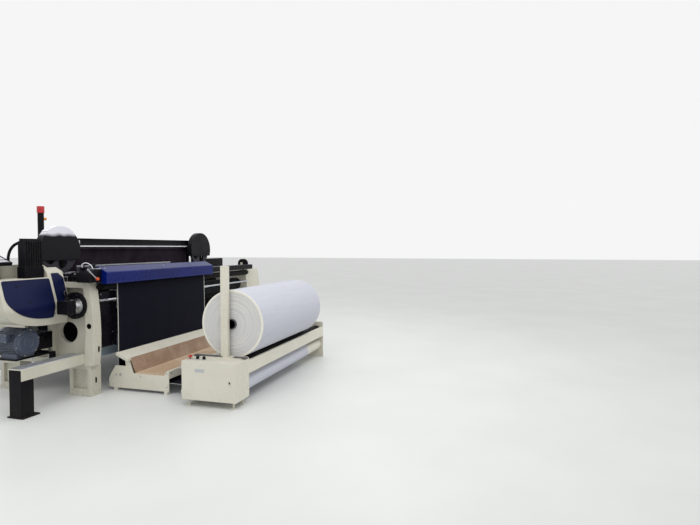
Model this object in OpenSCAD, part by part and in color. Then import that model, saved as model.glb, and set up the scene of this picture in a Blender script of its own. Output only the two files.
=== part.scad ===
// Rapier power loom with its inspection platform and large-roll batcher.
// X runs across the loom to the weaver's right, Y from the cloth side to the warp side, Z up.
// The origin lies on the floor, under the middle of the whole station.

/* [Side frames] */
// Distance between the inner faces of the two side frames
frame_span = 3120; // [2900:10:3300]
// Distance from the origin to the left frame's inner face
left_reach = 1380; // [1360:5:1420]
// Width of a side frame across the loom
frame_w = 105; // [95:1:120]
// Height of the side frames above the floor
frame_h = 1150; // [1140:1:1155]
// Height of the feet under the side frames
foot_h = 310; // [280:5:330]
// How far the front columns bow out between their top and their foot
bulge = 38; // [30:1:45]
// How far the columns' feet stand in front of their top
foot_reach = 35; // [25:1:40]
// Thickness of the recessed web of a side frame
web_t = 42; // [30:1:60]

/* [Cloth and warp] */
// Width of the cloth
cloth_w = 1630; // [1500:10:1640]
// Offset of the cloth's middle from the origin, to the left
cloth_shift = 365; // [350:5:380]
// Thickness of the cloth and of the warp sheet, as solids
cloth_t = 3; // [2:0.5:4]
// Height of the cloth line at the fell above the side frames
cloth_rise = 50; // [47:1:55]
// Depth of the fell behind the front columns' top
fell_y = 335; // [330:1:340]

/* [Cloth rollers] */
// Radius of the take-up roller
take_up_r = 95; // [85:1:100]
// Radius of the press roller
press_r = 40; // [30:1:45]
// Radius of the breast roller
breast_r = 30; // [25:1:32]
// Radius of the turn roller under the front cover
turn_r = 38; // [32:1:40]
// Radius of the platform's cloth roller
platform_roller_r = 38; // [30:1:40]
// Radius of the batcher's lower roller
lower_roller_r = 75; // [65:1:80]
// Radius of the batcher's two drive rollers
drive_r = 60; // [52:1:64]
// Radius of the cloth roll on the batcher
roll_r = 332; // [300:1:340]
// Radius of the roll's core tube
core_r = 50; // [40:1:60]

/* [Warp side] */
// Radius of the warp beam's flanges
flange_r = 450; // [400:5:455]
// Radius of the warp wound on the beam
warp_r = 380; // [300:5:390]
// Radius of the back rest roller
back_rest_r = 60; // [50:1:70]

/* [Shed and weft] */
// Number of heald wires in each heald frame
heald_count = 48; // [20:1:60]
// Distance from one heald frame to the next
heald_pitch = 16; // [14:1:20]
// Stroke of a heald frame to each side of the closed shed
heald_stroke = 38; // [30:1:40]
// Number of dents in the reed
dent_count = 96; // [40:1:110]
// Radius of the rapier wheels
wheel_r = 228; // [210:1:235]
// Width of the rapier tape
tape_w = 22; // [16:1:26]

/* [Front cover and left end] */
// Length of the front cover
cover_l = 1965; // [1900:5:2000]
// Height of the front cover's front face
cover_h = 120; // [100:1:130]
// How far the left end housing stands out from the side frame
housing_w = 705; // [650:5:720]
// Radius of the main motor's body
motor_r = 140; // [120:1:150]
// Number of cooling ribs on the main motor
rib_count = 30; // [16:1:36]

/* [Platform and batcher] */
// Length of the inspection platform
platform_l = 1710; // [1700:5:1760]
// Height of the platform's deck
deck_h = 190; // [180:1:200]
// Depth of the batcher from front to back
batcher_d = 570; // [540:5:600]
// Height of the batcher's cabinet
cabinet_h = 430; // [410:1:440]
// Width of the batcher's cabinet
cabinet_w = 238; // [200:2:260]
// Length of the batcher's rollers between its end plates
batcher_span = 2140; // [2100:5:2200]

/* [Hidden] */

$fn = 64;
gap = 0.3;
eps = 0.01;
arc_step = 9;

cream = [0.82, 0.80, 0.72];
navy = [0.10, 0.14, 0.28];
blue = [0.12, 0.25, 0.55];
black = [0.08, 0.08, 0.09];
steel = [0.70, 0.72, 0.74];
denim = [0.05, 0.06, 0.12];

// Side frames
left_in = -left_reach;
left_out = left_in - frame_w;
right_in = left_in + frame_span;
right_out = right_in + frame_w;
cloth_z = frame_h + cloth_rise;
column_y = -26;
column_d = 60;
rail_h = 60;
belly_z = 650;
rear_y = 1400;
horn_y = 1120;
horn_h = frame_h + 95;
housing_top = frame_h + 105;
rim_top = housing_top + 75;
tray_z = frame_h + 55;
seat_depth = 30;

// Rollers between the side frames
take_up = [120, frame_h - 235];
press_angle = -60;
breast = [20, cloth_z - cloth_t / 2 - gap - breast_r];
turn = [-70, frame_h - 52];
journal_r = 18;
breast_journal_r = 14;
guide_bar_r = 14;
guide_bar_z = frame_h - 190;

// Cloth
cloth_x0 = -cloth_shift - cloth_w / 2;
cloth_x1 = cloth_x0 + cloth_w;
cloth_front_y = turn[0] - turn_r - gap - cloth_t;
half_cloth = cloth_t / 2 + gap;

// Warp side
back_rest_at = [horn_y, cloth_z - half_cloth - back_rest_r];
beam_at = [1330, 560];
beam_barrel_r = 85;
flange_t = 14;
warp_margin = 60;
warp_x0 = cloth_x0 - warp_margin;
warp_x1 = cloth_x1 + warp_margin;

// Sley and reed
sley_pivot = [440, cloth_z - 400];
reed_y = fell_y + 80;
reed_t = 6;
reed_h = 150;
sley_d = 60;
sley_top = cloth_z - 50;
rock_r = 30;

// Heald frames
heald_y = 500;
heald_t = 9;
heald_rail = 34;
heald_top = cloth_z + 312;
heald_h = 572;
heald_x0 = cloth_x0 - 80;
heald_x1 = cloth_x1 + 490;
heald_number = 4;
stand_d = heald_number * heald_pitch + 40;
stand_w = 46;
harness_beam_h = 60;
harness_beam_z = heald_top - heald_h - heald_stroke - 42 - harness_beam_h;
top_beam_z = heald_top + 4;
top_beam_h = 79;
guard_y = heald_y - 16;
guard_sheet = 6;
guard_z = [harness_beam_z - 270, cloth_z - 130];

// Rapiers
tape_z = cloth_z + 28;
tape_t = 2;
wheel_z = tape_z + gap + wheel_r;
wheel_y = fell_y + 50;
wheel_t = 26;
guard_wall = 6;
guard_r = wheel_r + tape_t + 16;
guard_d = 74;
left_wheel_x = cloth_x0 - 10 - guard_r;
right_wheel_x = heald_x1 + 160;
head_l = 190;
head_w = 24;
head_h = 20;
axle_r = 25;

// Front cover
cover_x0 = left_in - 25;
cover_x1 = cover_x0 + cover_l;
cover_y = -180;
cover_z = frame_h - 20;
cover_back_y = -50;
cover_rise = 60;
cover_wall = 8;

// Left end
housing_x0 = left_out - housing_w;
housing_y1 = 600;
housing_low = frame_h - 405;
housing_bend = housing_low + 185;
ridge_w = 185;
panel_t = 6;
lean = 0.28;
housing_front = 290;
motor_x = -1810;
motor_z = housing_low - 160;
motor_y = 360;
motor_l = 300;
tower_x = left_in + 18;
tower_y = 720;
tower_r = 30;

// Step
step_y = 30;
step_d = 150;
step_z = 330;
step_h = 100;
step_wall = 6;
step_x0 = -2120;
post_w = 130;

// Platform
platform_x0 = cloth_x0 - 20;
platform_x1 = platform_x0 + platform_l;
platform_front = -740;
platform_wall = 8;
incline_y = -320;
incline_top_y = -262;
incline_h = 346;
board_back_y = cloth_front_y - 12;
board_h = 402;
board_t = 30;
deck_t = 18;
roller_under = [cloth_front_y - gap - platform_roller_r, 168];

// Batcher
batcher_front = -1640;
batcher_back = batcher_front + batcher_d;
plate_t = 12;
cabinet_x1 = cloth_x0 - 32;
cabinet_x0 = cabinet_x1 - cabinet_w;
cabinet_z = 65;
sheet_t = 4;
door_t = 12;
span_x0 = cabinet_x1 + plate_t;
span_x1 = span_x0 + batcher_span;
roll_at = [roll_r - 1780, 750];
drive_spread = 92;
nip_distance = roll_r + drive_r + cloth_t + 2 * gap;
drive_drop = sqrt(pow(nip_distance, 2) - pow(drive_spread, 2));
rear_distance = roll_r + drive_r + gap;
rear_drop = sqrt(pow(rear_distance, 2) - pow(drive_spread, 2));
front_drive = [roll_at[0] - drive_spread, roll_at[1] - drive_drop];
rear_drive = [roll_at[0] + drive_spread, roll_at[1] - rear_drop];
lower = [front_drive[0], 172];
beam_z = 286;
beam_h = 127;

// Extrude an outline drawn in Y and Z from x0 to x1
module across(x0, x1) {
    translate([x0, 0, 0]) rotate([90, 0, 90]) linear_extrude(x1 - x0) children();
}

// Extrude an outline drawn in X and Z from y0 to y1
module along(y0, y1) {
    translate([0, y1, 0]) rotate([90, 0, 0]) linear_extrude(y1 - y0) children();
}

module block(x, y, z) {
    translate([x[0], y[0], z[0]]) cube([x[1] - x[0], y[1] - y[0], z[1] - z[0]]);
}

// Round bar along X; at holds Y and Z
module rod_x(x0, x1, at, r) {
    translate([x0, at[0], at[1]]) rotate([0, 90, 0]) cylinder(h = x1 - x0, r = r);
}

// Round bar along Y; at holds X and Z
module rod_y(y0, y1, at, r) {
    translate([at[0], y0, at[1]]) rotate([-90, 0, 0]) cylinder(h = y1 - y0, r = r);
}

module rod_z(z0, z1, at, r) {
    translate([at[0], at[1], z0]) cylinder(h = z1 - z0, r = r);
}

function unit(v) = v / norm(v);
function wrap(a) = a > 180 ? a - 360 : a < -180 ? a + 360 : a;

// Corner point c between neighbours p and n, rounded to radius r
function corner(p, c, n, r) =
    r == 0 ? [c] :
    let (
        u = unit(p - c),
        v = unit(n - c),
        half = acos(u * v) / 2,
        start = c + u * r / tan(half),
        end = c + v * r / tan(half),
        mid = c + unit(u + v) * r / sin(half),
        a = atan2(start[1] - mid[1], start[0] - mid[0]),
        sweep = wrap(atan2(end[1] - mid[1], end[0] - mid[0]) - a),
        steps = max(3, ceil(abs(sweep) / (r > 100 ? arc_step / 2 : arc_step)))
    )
    [for (i = [0:steps]) mid + r * [cos(a + sweep * i / steps), sin(a + sweep * i / steps)]];

// Outline whose points are [y, z, corner radius]
function rounded(points) =
    let (n = len(points), flat = [for (p = points) [p[0], p[1]]])
    [for (i = [0:n - 1]) each corner(flat[(i + n - 1) % n], flat[i], flat[(i + 1) % n], points[i][2])];

// Course of a sheet over rollers: each roller is [centre, signed radius], positive where it turns left
function heading(a, b) =
    let (d = b[0] - a[0])
    atan2(d[1], d[0]) + asin((a[1] - b[1]) / norm(d));
function side_point(roller, way) = roller[0] + roller[1] * [sin(way), -cos(way)];
function turned(a, b, left) =
    let (d = b - a)
    left ? d - 360 * floor(d / 360) : d - 360 * ceil(d / 360);
function round_roller(roller, way_in, way_out) =
    let (sweep = turned(way_in, way_out, roller[1] > 0), steps = max(2, ceil(abs(sweep) / 6)))
    [for (i = [0:steps]) let (way = way_in + sweep * i / steps) [side_point(roller, way), way]];
function course(rollers) =
    let (last = len(rollers) - 1)
    [for (i = [1:last - 1])
        each round_roller(rollers[i], heading(rollers[i - 1], rollers[i]),
            heading(rollers[i], rollers[i + 1]))];
function shifted(stops, by) = [for (s = stops) s[0] + by * [-sin(s[1]), cos(s[1])]];
function reversed(list) = [for (i = [len(list) - 1:-1:0]) list[i]];

module band(stops, thick) {
    polygon(concat(shifted(stops, thick / 2), reversed(shifted(stops, -thick / 2))));
}

// Cloth path from the fell to the batcher's front drive roller
nip_angle = atan2(drive_drop, drive_spread);
last_way = nip_angle + 88;
cloth_rollers = [
    [[fell_y, cloth_z], 0],
    [breast, breast_r + half_cloth],
    [take_up, -take_up_r - half_cloth],
    [turn, turn_r + half_cloth],
    [roller_under, -platform_roller_r - half_cloth],
    [lower, -lower_roller_r - half_cloth],
    [front_drive, drive_r + half_cloth]
];
drive_turn = cloth_rollers[6];
cloth_course = concat(
    [[cloth_rollers[0][0], heading(cloth_rollers[0], cloth_rollers[1])]],
    course(cloth_rollers),
    round_roller(drive_turn, heading(cloth_rollers[5], drive_turn), last_way)
);

// Warp path from the beam over the back rest to the heald frames
warp_end_y = heald_y + (heald_number - 1) * heald_pitch + heald_t + 4;
warp_rollers = [
    [beam_at, warp_r + half_cloth],
    [back_rest_at, back_rest_r + half_cloth],
    [[warp_end_y, cloth_z], 0]
];
beam_way = heading(warp_rollers[0], warp_rollers[1]);
warp_course = concat(
    [[side_point(warp_rollers[0], beam_way), beam_way]],
    course(warp_rollers),
    [[warp_rollers[2][0], 180]]
);

// Front of a column from its top to its foot, as a slender bow
bow_steps = 14;
bow_fullness = 0.6;
column_front = [
    for (i = [1:bow_steps])
        let (u = i / bow_steps, out = foot_reach * u + bulge * pow(sin(180 * u), bow_fullness))
        [column_y - out, frame_h - u * (frame_h - foot_h), 0]
];

// Outline of a side frame in Y and Z
side_outline = rounded([
    [column_y, frame_h, 12],
    each column_front,
    [rear_y - 180, foot_h, 60],
    [rear_y, beam_at[1] - 130, 60],
    [rear_y, beam_at[1] + 140, 60],
    [horn_y + 90, horn_h, 30],
    [horn_y - 90, horn_h, 30],
    [horn_y - 160, frame_h, 30]
]);

// Bores that carry the shafts of the rollers and of the sley
module shaft_bores(x0, x1) {
    for (at = [take_up, turn, back_rest_at]) rod_x(x0, x1, at, journal_r + gap);
    rod_x(x0, x1, take_up + press_offset, journal_r + gap);
    rod_x(x0, x1, sley_pivot, rock_r + gap);
    rod_x(x0, x1, beam_at, journal_r * 2 + gap);
}
press_offset = (take_up_r + press_r + cloth_t + 2 * gap) * [cos(press_angle), sin(press_angle)];

// Pockets between the ribs of a side frame, on its outer face
module frame_pockets() {
    inner_front = column_y + column_d;
    polygon(rounded([
        [inner_front, frame_h - rail_h, 30],
        [inner_front - 20, belly_z, 20],
        [inner_front, foot_h + rail_h, 30],
        [440, foot_h + rail_h, 30],
        [440, frame_h - rail_h, 30]
    ]));
    polygon(rounded([
        [490, frame_h - rail_h, 30],
        [490, foot_h + rail_h, 30],
        [1180, foot_h + rail_h, 60],
        [1300, beam_at[1] - 90, 30],
        [1130, frame_h - rail_h, 60]
    ]));
}

// Egg-shaped window and the larger rear windows through the web
module frame_windows() {
    egg = [285, 635];
    egg_w = 112;
    egg_h = [100, 115];
    polygon(concat(
        [for (a = [0:12:180]) egg + [egg_w * cos(a), egg_h[0] * sin(a)]],
        [for (a = [192:12:348]) egg + [egg_w * cos(a), egg_h[1] * sin(a)]]
    ));
    low_window = [540, 860, 440, 760];
    high_window = [620, 960, frame_h - 270, frame_h - 110];
    for (w = [low_window, high_window])
        polygon(rounded([[w[0], w[3], 45], [w[0], w[2], 45], [w[1], w[2], 45], [w[1], w[3], 45]]));
}

grip_at = [column_y - 4, 710];
grip_r = 26;
module side_frame() {
    difference() {
        across(left_out, left_in) polygon(side_outline);
        across(left_out - eps, left_in - web_t) frame_pockets();
        across(left_out - eps, left_in + eps) frame_windows();
        shaft_bores(left_in - seat_depth, left_in + eps);
        rod_x(left_out - eps, left_in + eps, grip_at, grip_r);
    }
}

module left_frame() {
    color(cream) side_frame();
}

module right_frame() {
    color(cream) translate([left_in + right_in, 0, 0]) mirror([1, 0, 0]) side_frame();
}

// Cast foot with a flared base, an open side pocket and an anchor hole
foot_w = 140;
foot_d = 262;
anchor_r = 9;
lug = 46;
module foot() {
    difference() {
        union() {
            block([0, foot_w], [0, foot_d], [0, foot_h]);
            block([-8, foot_w + 8], [-8, foot_d + 8], [0, 22]);
            block([20, foot_w - 20], [foot_d, foot_d + lug], [0, 18]);
        }
        block([-eps, 34], [40, foot_d - 40], [70, foot_h - 40]);
        block([foot_w - 34, foot_w + eps], [40, foot_d - 40], [70, foot_h - 40]);
        rod_z(-eps, 30, [foot_w / 2, foot_d + lug / 2], anchor_r);
    }
}

foot_rear_y = 880;
module feet() {
    color(cream) for (x = [left_out + 15, right_out - 15 - foot_w], y = [column_y, foot_rear_y])
        translate([x, y, 0]) foot();
}

// Low cross members between the side frames
module cross_beams() {
    wall = 12;
    low = foot_h + 40;
    inner_x = [left_in - eps, right_in + eps];
    front = [[take_up[0] - 60, take_up[0] + 60], [low, low + 170]];
    rear = [[heald_y + 200, heald_y + 300], [low, low + 150]];
    color([0.62, 0.68, 0.72]) {
        difference() {
            block([left_in, right_in], front[0], front[1]);
            block(inner_x, front[0] + [wall, eps], front[1] + [wall, -wall]);
        }
        difference() {
            block([left_in, right_in], rear[0], rear[1]);
            block(inner_x, rear[0] + [-eps, -wall], rear[1] + [wall, -wall]);
        }
    }
}

// Beam with the two stands in which the heald frames slide, and the sheets that guard them
module harness_stand() {
    y0 = heald_y - 20;
    color(steel) {
        block([left_in, right_in], [y0, y0 + stand_d], [harness_beam_z, harness_beam_z + harness_beam_h]);
        stand_z = [harness_beam_z + harness_beam_h, top_beam_z + top_beam_h];
        block([heald_x0 - gap - stand_w, heald_x0 - gap], [y0, y0 + stand_d], stand_z);
        block([heald_x1 + gap, heald_x1 + gap + stand_w], [y0, y0 + stand_d], stand_z);
    }
    color(black) for (z = [[guard_z[0], harness_beam_z], [harness_beam_z + harness_beam_h, guard_z[1]]])
        block([left_in, right_in], [guard_y, guard_y + guard_sheet], z);
}

// Table under the cloth in front of the fell, with a temple at each selvedge
table_y = [230, 318];
temple_r = 13;
temple_l = 120;
module cloth_table() {
    table_top = cloth_z - half_cloth;
    temple_z = cloth_z + half_cloth + temple_r;
    color(steel) {
        difference() {
            block([left_out, right_out], table_y, [frame_h, table_top]);
            block([left_in, right_in], table_y + [12, 12], [frame_h - eps, table_top - 10]);
        }
        for (side = [0, 1]) {
            edge = side == 0 ? cloth_x0 : cloth_x1;
            out = side == 0 ? -1 : 1;
            inner = edge - out * temple_l;
            outer = edge + out * 26;
            rod_x(min(inner, outer), max(inner, outer), [table_y[1] - 22, temple_z], temple_r);
            post_x = [min(edge + out * 8, outer), max(edge + out * 8, outer)];
            block(post_x, [table_y[1] - 50, table_y[1] - 22], [table_top, temple_z]);
        }
    }
}

// Bent front cover: outer outline less the same outline drawn inside it
module cover_profile(t) {
    y0 = cover_y + t;
    z1 = cover_z + cover_h - t;
    polygon(rounded([
        [y0, cover_z - 1, 0],
        [y0, z1, max(3, 16 - t)],
        [cover_back_y - t, z1 + cover_rise, max(3, 12 - t)],
        [cover_back_y - t, cover_z + cover_h - 10, 0],
        [cover_y + 60, cover_z - 1, 0]
    ]));
}

module front_cover() {
    color(blue) difference() {
        across(cover_x0, cover_x1) cover_profile(0);
        across(cover_x0 + cover_wall, cover_x1 - cover_wall) cover_hollow();
        block([cover_x0 - 1, cover_x1 + 1], [cover_y - 1, cover_back_y + 1], [cover_z - 20, cover_z]);
    }
}

module cover_hollow() {
    y0 = cover_y + cover_wall;
    z1 = cover_z + cover_h - cover_wall;
    polygon([
        [y0, cover_z - 20],
        [y0, z1],
        [cover_back_y - cover_wall, z1 + cover_rise - 4],
        [cover_back_y - cover_wall, cover_z - 20]
    ]);
}

// Rounded bracket on the left column and the rail on the right that carry the cover
bracket_l = 155;
bracket_h = 130;
bracket_y = [-120, 40];
rail_y = [-120, -20];
rail_top = frame_h + 70;
bearing_y = [breast[0] - 34, breast[0] + 34];
bearing_top = breast[1] + breast_r;
module cover_brackets() {
    color(black) {
        difference() {
            union() {
                along(bracket_y[0], bracket_y[1]) polygon(rounded([
                    [cover_x0 - bracket_l, frame_h, 0],
                    [cover_x0, frame_h, 0],
                    [cover_x0, frame_h + bracket_h, 12],
                    [cover_x0 - bracket_l, frame_h + bracket_h, 90]
                ]));
                block([left_out, left_in], bearing_y, [frame_h, bearing_top]);
            }
            rod_x(left_in - seat_depth, left_in + eps, breast, breast_journal_r + gap);
        }
        difference() {
            block([cover_x1, right_out], rail_y, [frame_h, rail_top]);
            inner_x = [cover_x1 + 12, right_out - 12];
            block(inner_x, [rail_y[0] + 12, rail_y[1] + eps], [frame_h - eps, rail_top - 12]);
        }
        difference() {
            block([right_in, right_out], [rail_y[0] + 60, bearing_y[1]], [frame_h, bearing_top]);
            rod_x(right_in - eps, right_in + seat_depth, breast, breast_journal_r + gap);
        }
    }
}

// Straight bar that keeps the hanging cloth flat, on two arms from the columns
module guide_bar() {
    at = [cloth_front_y + cloth_t + gap + guide_bar_r, guide_bar_z];
    color(steel) {
        rod_x(cloth_x0 - 125, cloth_x1 + 125, at, guide_bar_r);
        arm_z = [at[1] - 10, at[1] + 10];
        arm_y = [at[0] + 4, at[0] + 16];
        block([left_in, cloth_x0 - 110], arm_y, arm_z);
        block([cloth_x1 + 110, right_in], arm_y, arm_z);
        block([left_in, left_in + 12], [arm_y[0], column_y + 14], arm_z);
        block([right_in - 12, right_in], [arm_y[0], column_y + 14], arm_z);
    }
}

// Servo motor with its round housing on the left frame's web
housing_r = 134;
servo_w = 130;
servo_l = 101;
servo_flange_r = 72;
servo_shift = 45;
module take_up_motor() {
    web_x = left_in - web_t;
    flange_x = [left_out - 115, left_out - 46];
    at = take_up - [servo_shift, 0];
    color(black) {
        rod_x(left_out, web_x, take_up, housing_r - 44);
        rod_x(left_out - 30, left_out, take_up, housing_r);
        rod_x(flange_x[1], left_out - 30, at, servo_flange_r - 6);
        half = servo_w / 2;
        across(flange_x[0] - servo_l, flange_x[0]) translate(at)
            polygon(rounded([[-half, -half, 14], [half, -half, 14], [half, half, 14], [-half, half, 14]]));
    }
    color(steel) rod_x(flange_x[0], flange_x[1], at, servo_flange_r);
}

// Front line of the left end housing in Y and Z, moved forward by out
function housing_line(out) = [
    [housing_front + 75 - out, rim_top + 1, 0],
    [housing_front - out, housing_top, 20],
    [housing_front - lean * (housing_top - housing_bend) - out, housing_bend, 120],
    [housing_front - 40 - out, housing_low - 40, 0]
];

module housing_depth() {
    back = [[housing_y1, housing_low - 40, 0], [housing_y1, rim_top + 1, 0]];
    polygon(rounded(concat(housing_line(0), back)));
}

// Quarter of an ellipse at the lower left corner (x, z), w wide and h high
function belly(x, z, w, h) = [for (a = [0:6:90]) [x + w * (1 - cos(a)), z + h * (1 - sin(a)), 0]];

module housing_outline() {
    polygon(rounded([
        [housing_x0, rim_top, 25],
        each belly(housing_x0, housing_low, 520, 200),
        [left_out, housing_low, 0],
        [left_out, housing_top, 10],
        [left_out - 60, rim_top, 15]
    ]));
}

// Cream shell with a recessed tray, and a ridge at its right that is slotted for the rapier wheel
module left_end_housing() {
    color(cream) difference() {
        intersection() {
            along(0, housing_y1) housing_outline();
            across(housing_x0 - 1, left_out) housing_depth();
        }
        tray_y = [housing_front - 120, housing_y1 - 60];
        block([housing_x0 + 22, left_out - ridge_w], tray_y, [tray_z, rim_top + 1]);
        rod_y(wheel_y - guard_d * 0.7, wheel_y + guard_d * 0.7, [left_wheel_x, wheel_z], guard_r);
        motor_clear = housing_r + 12;
        rod_x(left_out - 60, left_out + eps, take_up, motor_clear);
    }
}

// Panel of an even thickness that follows the front of the housing
module housing_panel(outline) {
    intersection() {
        across(housing_x0, left_out)
            polygon(rounded(concat(housing_line(panel_t), reversed(housing_line(0)))));
        along(0, housing_y1) polygon(rounded(outline));
    }
}

// Two navy panels set on the front of the housing
module navy_panels() {
    strip = left_out - 175;
    panel_top = tray_z - 9;
    color(navy) {
        housing_panel([
            [housing_x0 + 30, panel_top, 20],
            each belly(housing_x0 + 30, housing_low + 70, 460, 240),
            [strip, housing_low + 70, 20],
            [strip, panel_top, 20]
        ]);
        ring_side = left_out - 42;
        ring_top = take_up[1] + housing_r + 12;
        housing_panel([
            [strip + 32, housing_top - 12, 12],
            [strip + 32, ring_top - 100, 12],
            [ring_side, ring_top - 100, 12],
            [ring_side, ring_top, 8],
            [left_out - 12, ring_top, 12],
            [left_out - 12, panel_top, 12],
            [left_out - 62, housing_top - 12, 12]
        ]);
    }
}

// Finned motor with its axis along Y, on a shelf fastened to the left frame
module main_motor() {
    shelf_z = motor_z - motor_r - 16;
    color([0.42, 0.48, 0.54]) {
        rod_y(motor_y + 20, motor_y + motor_l, [motor_x, motor_z], motor_r - 14);
        rod_y(motor_y, motor_y + 20, [motor_x, motor_z], motor_r * 0.72);
        for (i = [0:rib_count - 1])
            translate([motor_x, 0, motor_z]) rotate([0, i * 360 / rib_count, 0])
                block([motor_r - 20, motor_r - 5], [motor_y + 40, motor_y + motor_l - 30], [-3, 3]);
        rod_y(motor_y + motor_l - 40, motor_y + motor_l, [motor_x, motor_z], motor_r);
        foot_z = [shelf_z + 14, shelf_z + 60];
        block([motor_x - 95, motor_x + 95], [motor_y + 50, motor_y + motor_l - 60], foot_z);
        block([motor_x - 120, left_out], [motor_y + 30, motor_y + motor_l], [shelf_z, foot_z[0]]);
        block([left_out - 70, left_out], [motor_y + 30, motor_y + 44], [shelf_z - 70, shelf_z]);
        gear_case_x = [motor_x + motor_r - 30, left_out];
        block(gear_case_x, [motor_y + 70, motor_y + 220], [motor_z - 105, motor_z + 60]);
    }
}

// Channel that carries the tread at the left end
module step_beam() {
    y = [step_y, step_y + step_d];
    color(cream) difference() {
        block([step_x0 - post_w / 2, left_out], y, [step_z, step_z + step_h]);
        inner = y + [step_wall, -step_wall];
        inner_x = [step_x0 - post_w / 2 - eps, left_out + eps];
        block(inner_x, inner, [step_z - eps, step_z + step_h - step_wall]);
    }
    tread_z = step_z + step_h;
    color(steel) block([step_x0 - post_w / 2, left_out - 30], y + [8, -8], [tread_z, tread_z + 8]);
}

module step_post() {
    y = step_y + step_d / 2;
    h = post_w / 2;
    color(black) {
        block([step_x0 - h, step_x0 + h], [y - h, y + h], [12, step_z + step_h - step_wall]);
        block([step_x0 - h - 5, step_x0 + h + 40], [y - h - 25, y + h + 25], [0, 12]);
    }
}

// Operator terminal on its arm above the housing
terminal_x = -2050;
terminal_y = 500;
terminal_z = tray_z + 167;
terminal_tilt = 23;
terminal_size = [200, 240, 34];
pin_drop = 12;
module terminal() {
    color(black) translate([terminal_x, terminal_y, terminal_z]) rotate([terminal_tilt, 0, 0]) {
        s = terminal_size;
        difference() {
            translate([-s[0] / 2, -s[1] / 2, 0]) cube(s);
            translate([-s[0] / 2 + 14, -s[1] / 2 + 14, s[2] - 3]) cube([s[0] - 28, s[1] - 28, 4]);
        }
        rod_x(-30, 30, [0, -pin_drop], pin_drop + 2);
    }
}

terminal_pin = [terminal_y + pin_drop * sin(terminal_tilt), terminal_z - pin_drop * cos(terminal_tilt)];
module terminal_arm() {
    color(black) {
        for (side = [-1, 1]) {
            x = terminal_x + side * 38.3 - 8;
            across(x, x + 16) hull() {
                translate(terminal_pin) circle(pin_drop - 1);
                translate([terminal_pin[0] - 35, tray_z + 10]) square([50, 10]);
            }
        }
        base_x = [terminal_x - 46.3, terminal_x + 46.3];
        block(base_x, [terminal_pin[0] - 45, terminal_pin[0] + 25], [tray_z, tray_z + 12]);
    }
}

// Lamp pole on a bracket at the left frame
module signal_tower() {
    lamp_z = frame_h + 710;
    clamp_z = [frame_h - 46, frame_h - 6];
    color(black) {
        rod_z(frame_h - 50, lamp_z, [tower_x + tower_r, tower_y], tower_r);
        block([left_in, tower_x + tower_r], [tower_y - 24, tower_y + 24], clamp_z);
    }
    color([0.8, 0.1, 0.1]) {
        rod_z(lamp_z, lamp_z + 70, [tower_x + tower_r, tower_y], tower_r + 6);
        rod_x(tower_x + tower_r, tower_x + tower_r + 62, [tower_y, lamp_z - 60], 16);
    }
}

// Gear boxes that carry the rapier wheels
box_y0 = wheel_y + guard_d / 2;
box_y1 = heald_y - 24;
module left_gear_box() {
    color(black) difference() {
        along(box_y0, box_y1) polygon(rounded([
            [left_out, frame_h, 0],
            [left_in + 20, frame_h, 0],
            [left_in + 20, wheel_z - 60, 20],
            [left_wheel_x + 80, wheel_z + 80, 60],
            [left_wheel_x - 80, wheel_z + 80, 60],
            [left_wheel_x - 80, wheel_z - 80, 40],
            [left_out, wheel_z - 160, 20]
        ]));
        rod_y(box_y0 - eps, box_y1 - 10, [left_wheel_x, wheel_z], axle_r + gap);
    }
}

module right_gear_box() {
    color(black) difference() {
        along(box_y0, box_y1) polygon(rounded([
            [right_wheel_x - 80, frame_h, 20],
            [right_out, frame_h, 0],
            [right_out, frame_h + 170, 20],
            [right_wheel_x + 140, frame_h + 170, 30],
            [right_wheel_x + 80, wheel_z + 80, 60],
            [right_wheel_x - 80, wheel_z + 80, 60]
        ]));
        rod_y(box_y0 - eps, box_y1 - 10, [right_wheel_x, wheel_z], axle_r + gap);
    }
}

// Spoked wheel with the tape on its rim; the axle runs back into the gear box
module rapier_wheel(x) {
    spoke_number = 5;
    hub_r = 48;
    color([0.55, 0.57, 0.60]) {
        difference() {
            rod_y(wheel_y - wheel_t / 2, wheel_y + wheel_t / 2, [x, wheel_z], wheel_r);
            for (i = [0:spoke_number - 1])
                translate([x, 0, wheel_z]) rotate([0, i * 360 / spoke_number, 0])
                    rod_y(wheel_y - wheel_t, wheel_y + wheel_t, [wheel_r * 0.58, 0], wheel_r * 0.24);
        }
        rod_y(wheel_y - 24, wheel_y + 24, [x, wheel_z], hub_r);
        rod_y(wheel_y, box_y1 - 12, [x, wheel_z], axle_r);
    }
}

module left_rapier_wheel() {
    rapier_wheel(left_wheel_x);
}

module right_rapier_wheel() {
    rapier_wheel(right_wheel_x);
}

// Half-round hoods over the wheels, open below for the tapes; the left one has a pale cap
module wheel_guard(x) {
    difference() {
        rod_y(wheel_y - guard_d / 2, wheel_y + guard_d / 2, [x, wheel_z], guard_r + guard_wall);
        rod_y(wheel_y - guard_d / 2 + guard_wall, wheel_y + guard_d / 2 - guard_wall, [x, wheel_z], guard_r);
        low = wheel_z - 2 * guard_r;
        x_all = [x - 2 * guard_r, x + 2 * guard_r];
        block(x_all, [wheel_y - guard_d, wheel_y + guard_d], [low, wheel_z - 90]);
        rod_y(wheel_y, wheel_y + guard_d, [x, wheel_z], axle_r + 8);
    }
}

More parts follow.
